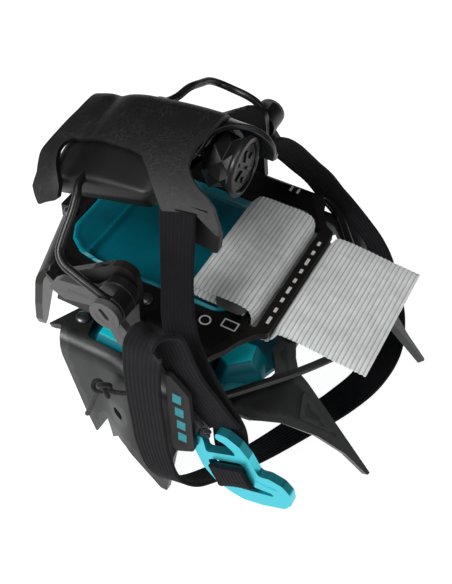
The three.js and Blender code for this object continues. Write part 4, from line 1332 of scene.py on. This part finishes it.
def make_shock_cord():
    route = [(-3.2, -51.3, 37.2), (-6, -52.3, 36.4), (-8.8, -52.9, 35.8), (-11, -53.1, 36.1),
             (-13, -53.2, 35.6),
             (-14.6, -53.3, 32.5), (-16.2, -53.3, 28.5), (-18.2, -53.1, 22), (-20.4, -52.8, 15.6)]
    path = smooth_path(route, 0.5)
    made = piece("shock_cord_line", tube(path, 0.85, 18), "cord", "front_section",
                 "shock_cord shock_cord_end", angle=60)
    tie = overhand((-12.7, -53.3, 35.6), 1.12, 0.85)
    knot = piece("shock_cord_tie", tie, "cord", "front_section", "shock_cord_knot", angle=60)
    to_row(path[0])
    [to_row(p) for p in path]


# ---------- printed marks on the heel frame ----------
def heel_marks():
    marks = Shape()
    bars = []
    for k in range(9):
        y = -19.5 + 4.6 * k
        long = 3.0 if k % 3 == 0 else 1.9
        bars.append((26.3, y, 1.0, long))
    bars += [(7.2, 36.9, 0.8, 2.6), (9.8, 36.9, 0.8, 2.6)]
    bars += [(14.6, -26.9, 0.45, 3.4), (19.2, -26.9, 0.45, 3.4), (16.9, -28.4, 4.2, 0.45),
             (16.9, -25.4, 4.2, 0.45)]
    for x, y, along, across in bars:
        box = slab([(x - along / 2, y - across / 2), (x + along / 2, y - across / 2),
                    (x + along / 2, y + across / 2), (x - along / 2, y + across / 2)], 0.05, (), 4, 0.15)
        marks.add(box)
    ring = slab(round_hole(9.5, -28.9, 1.9, 0, 28), 0.05, [round_hole(9.5, -28.9, 1.45, 0, 28)], 4, 0.1)
    marks.add(ring)
    return marks.moved(lambda p: (p.x, p.y, p.z + HEEL_TOP + 0.06))


# ---------- the whole crampon ----------
def make_frames():
    piece("front_frame", front_plate(), "front_steel", "front_section", "front_plate", bevel=0.35, angle=40)
    piece("front_point_ribs", point_ribs(), "front_steel", "front_section", "front_plate", bevel=0.5,
          segments=3)
    piece("heel_frame", heel_plate(), "heel_steel", "heel_section", "heel_plate", bevel=0.4, angle=40)
    piece("heel_frame_marks", heel_marks(), "white_print", "heel_section")
    piece("front_snow_plate", front_antiball(), "teal_plastic", "front_section", "front_antiball_plate")
    blocks = piece("front_snow_blocks", front_antiball_blocks(), "teal_plastic", "front_section",
                   "front_antiball_plate", bevel=0.6, segments=3)
    # Upturned faces get the lighter teal copy: painted light on the blocks' tops, while the sides keep the
    # plain teal.
    blocks.data.materials.append(MATERIALS["teal_bright"])
    for face in blocks.data.polygons:
        face.material_index = int(face.normal.z > 0.8)
    piece("heel_snow_plate", heel_antiball(), "teal_plastic", "heel_section", "heel_antiball_plate")


def make_lever():
    piece("cover_shell", lever_cover(), "cover_plastic", "heel_lever", "lever_cover", bevel=0.5, segments=3,
          angle=45)
    piece("cover_hood", hood(), "dial_plastic", "heel_lever", "lever_cover", "cover_plastic", bevel=0.3,
          angle=40)
    cheek = upright(slab([(2.5, 99, 1), (3.5, 86.4, 1.5), (12.6, 85, 1.5), (12.8, 92, 2), (9, 99.4, 1)],
                         2.2), -28)
    piece("cover_brackets", cheek, "black_plastic", "heel_lever", "lever_cover", bevel=0.4)
    piece("lever_pod", lever_body(), "black_plastic", "heel_lever", "lever_body", angle=50)
    piece("dial_gem", dial_facets(), "dial_plastic", "adjust_dial", "adjust_dial", bevel=0.15, angle=10)
    piece("dial_rim", dial_rim(), "dial_plastic", "adjust_dial", "adjust_dial", angle=40)
    piece("dial_face", dial_face(), "black_plastic", "adjust_dial", "dial_cap", bevel=0.1, angle=40)
    screw = [(0, -25.3), (1.2, -25.3)]
    for k in range(16):
        screw += [(1.8, -24.8 + 1.1 * k), (1.35, -24.25 + 1.1 * k)]
    screw += [(1.8, -6.9), (1.8, -6.3), (0, -6.3)]
    piece("dial_screw", lathe(screw, (0, 0, DIAL_Z), (1, 0, 0), 24), "bare_steel", "adjust_dial",
          "adjust_screw")
    rod = [(0, -7.5), (1.1, -7.5), (1.3, -7.2), (1.3, 5.8), (1.1, 6.1), (0, 6.1)]
    for side, y, z in (("right", -24.6, 93), ("left", 23.4, 79.6)):
        pin = lathe(rod, (0, y, z), (1, 0, 0), 20)
        piece(f"strap_pin_{side}_rod", pin, "bare_steel", "heel_lever", f"strap_pin_{side}")
    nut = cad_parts["adjust_nut"]
    soften = nut.modifiers.new("bevel", "BEVEL")
    soften.width = 0.6 * MM
    soften.segments = 3
    for place in nut.material_slots:
        place.material = MATERIALS["bare_steel"]


make_camera()
make_stage()
make_frames()
make_rivets()
make_bails()
bail_sockets()
make_holders()
make_link()
make_straps()
make_label()
make_hook()
make_shock_cord()
make_lever()
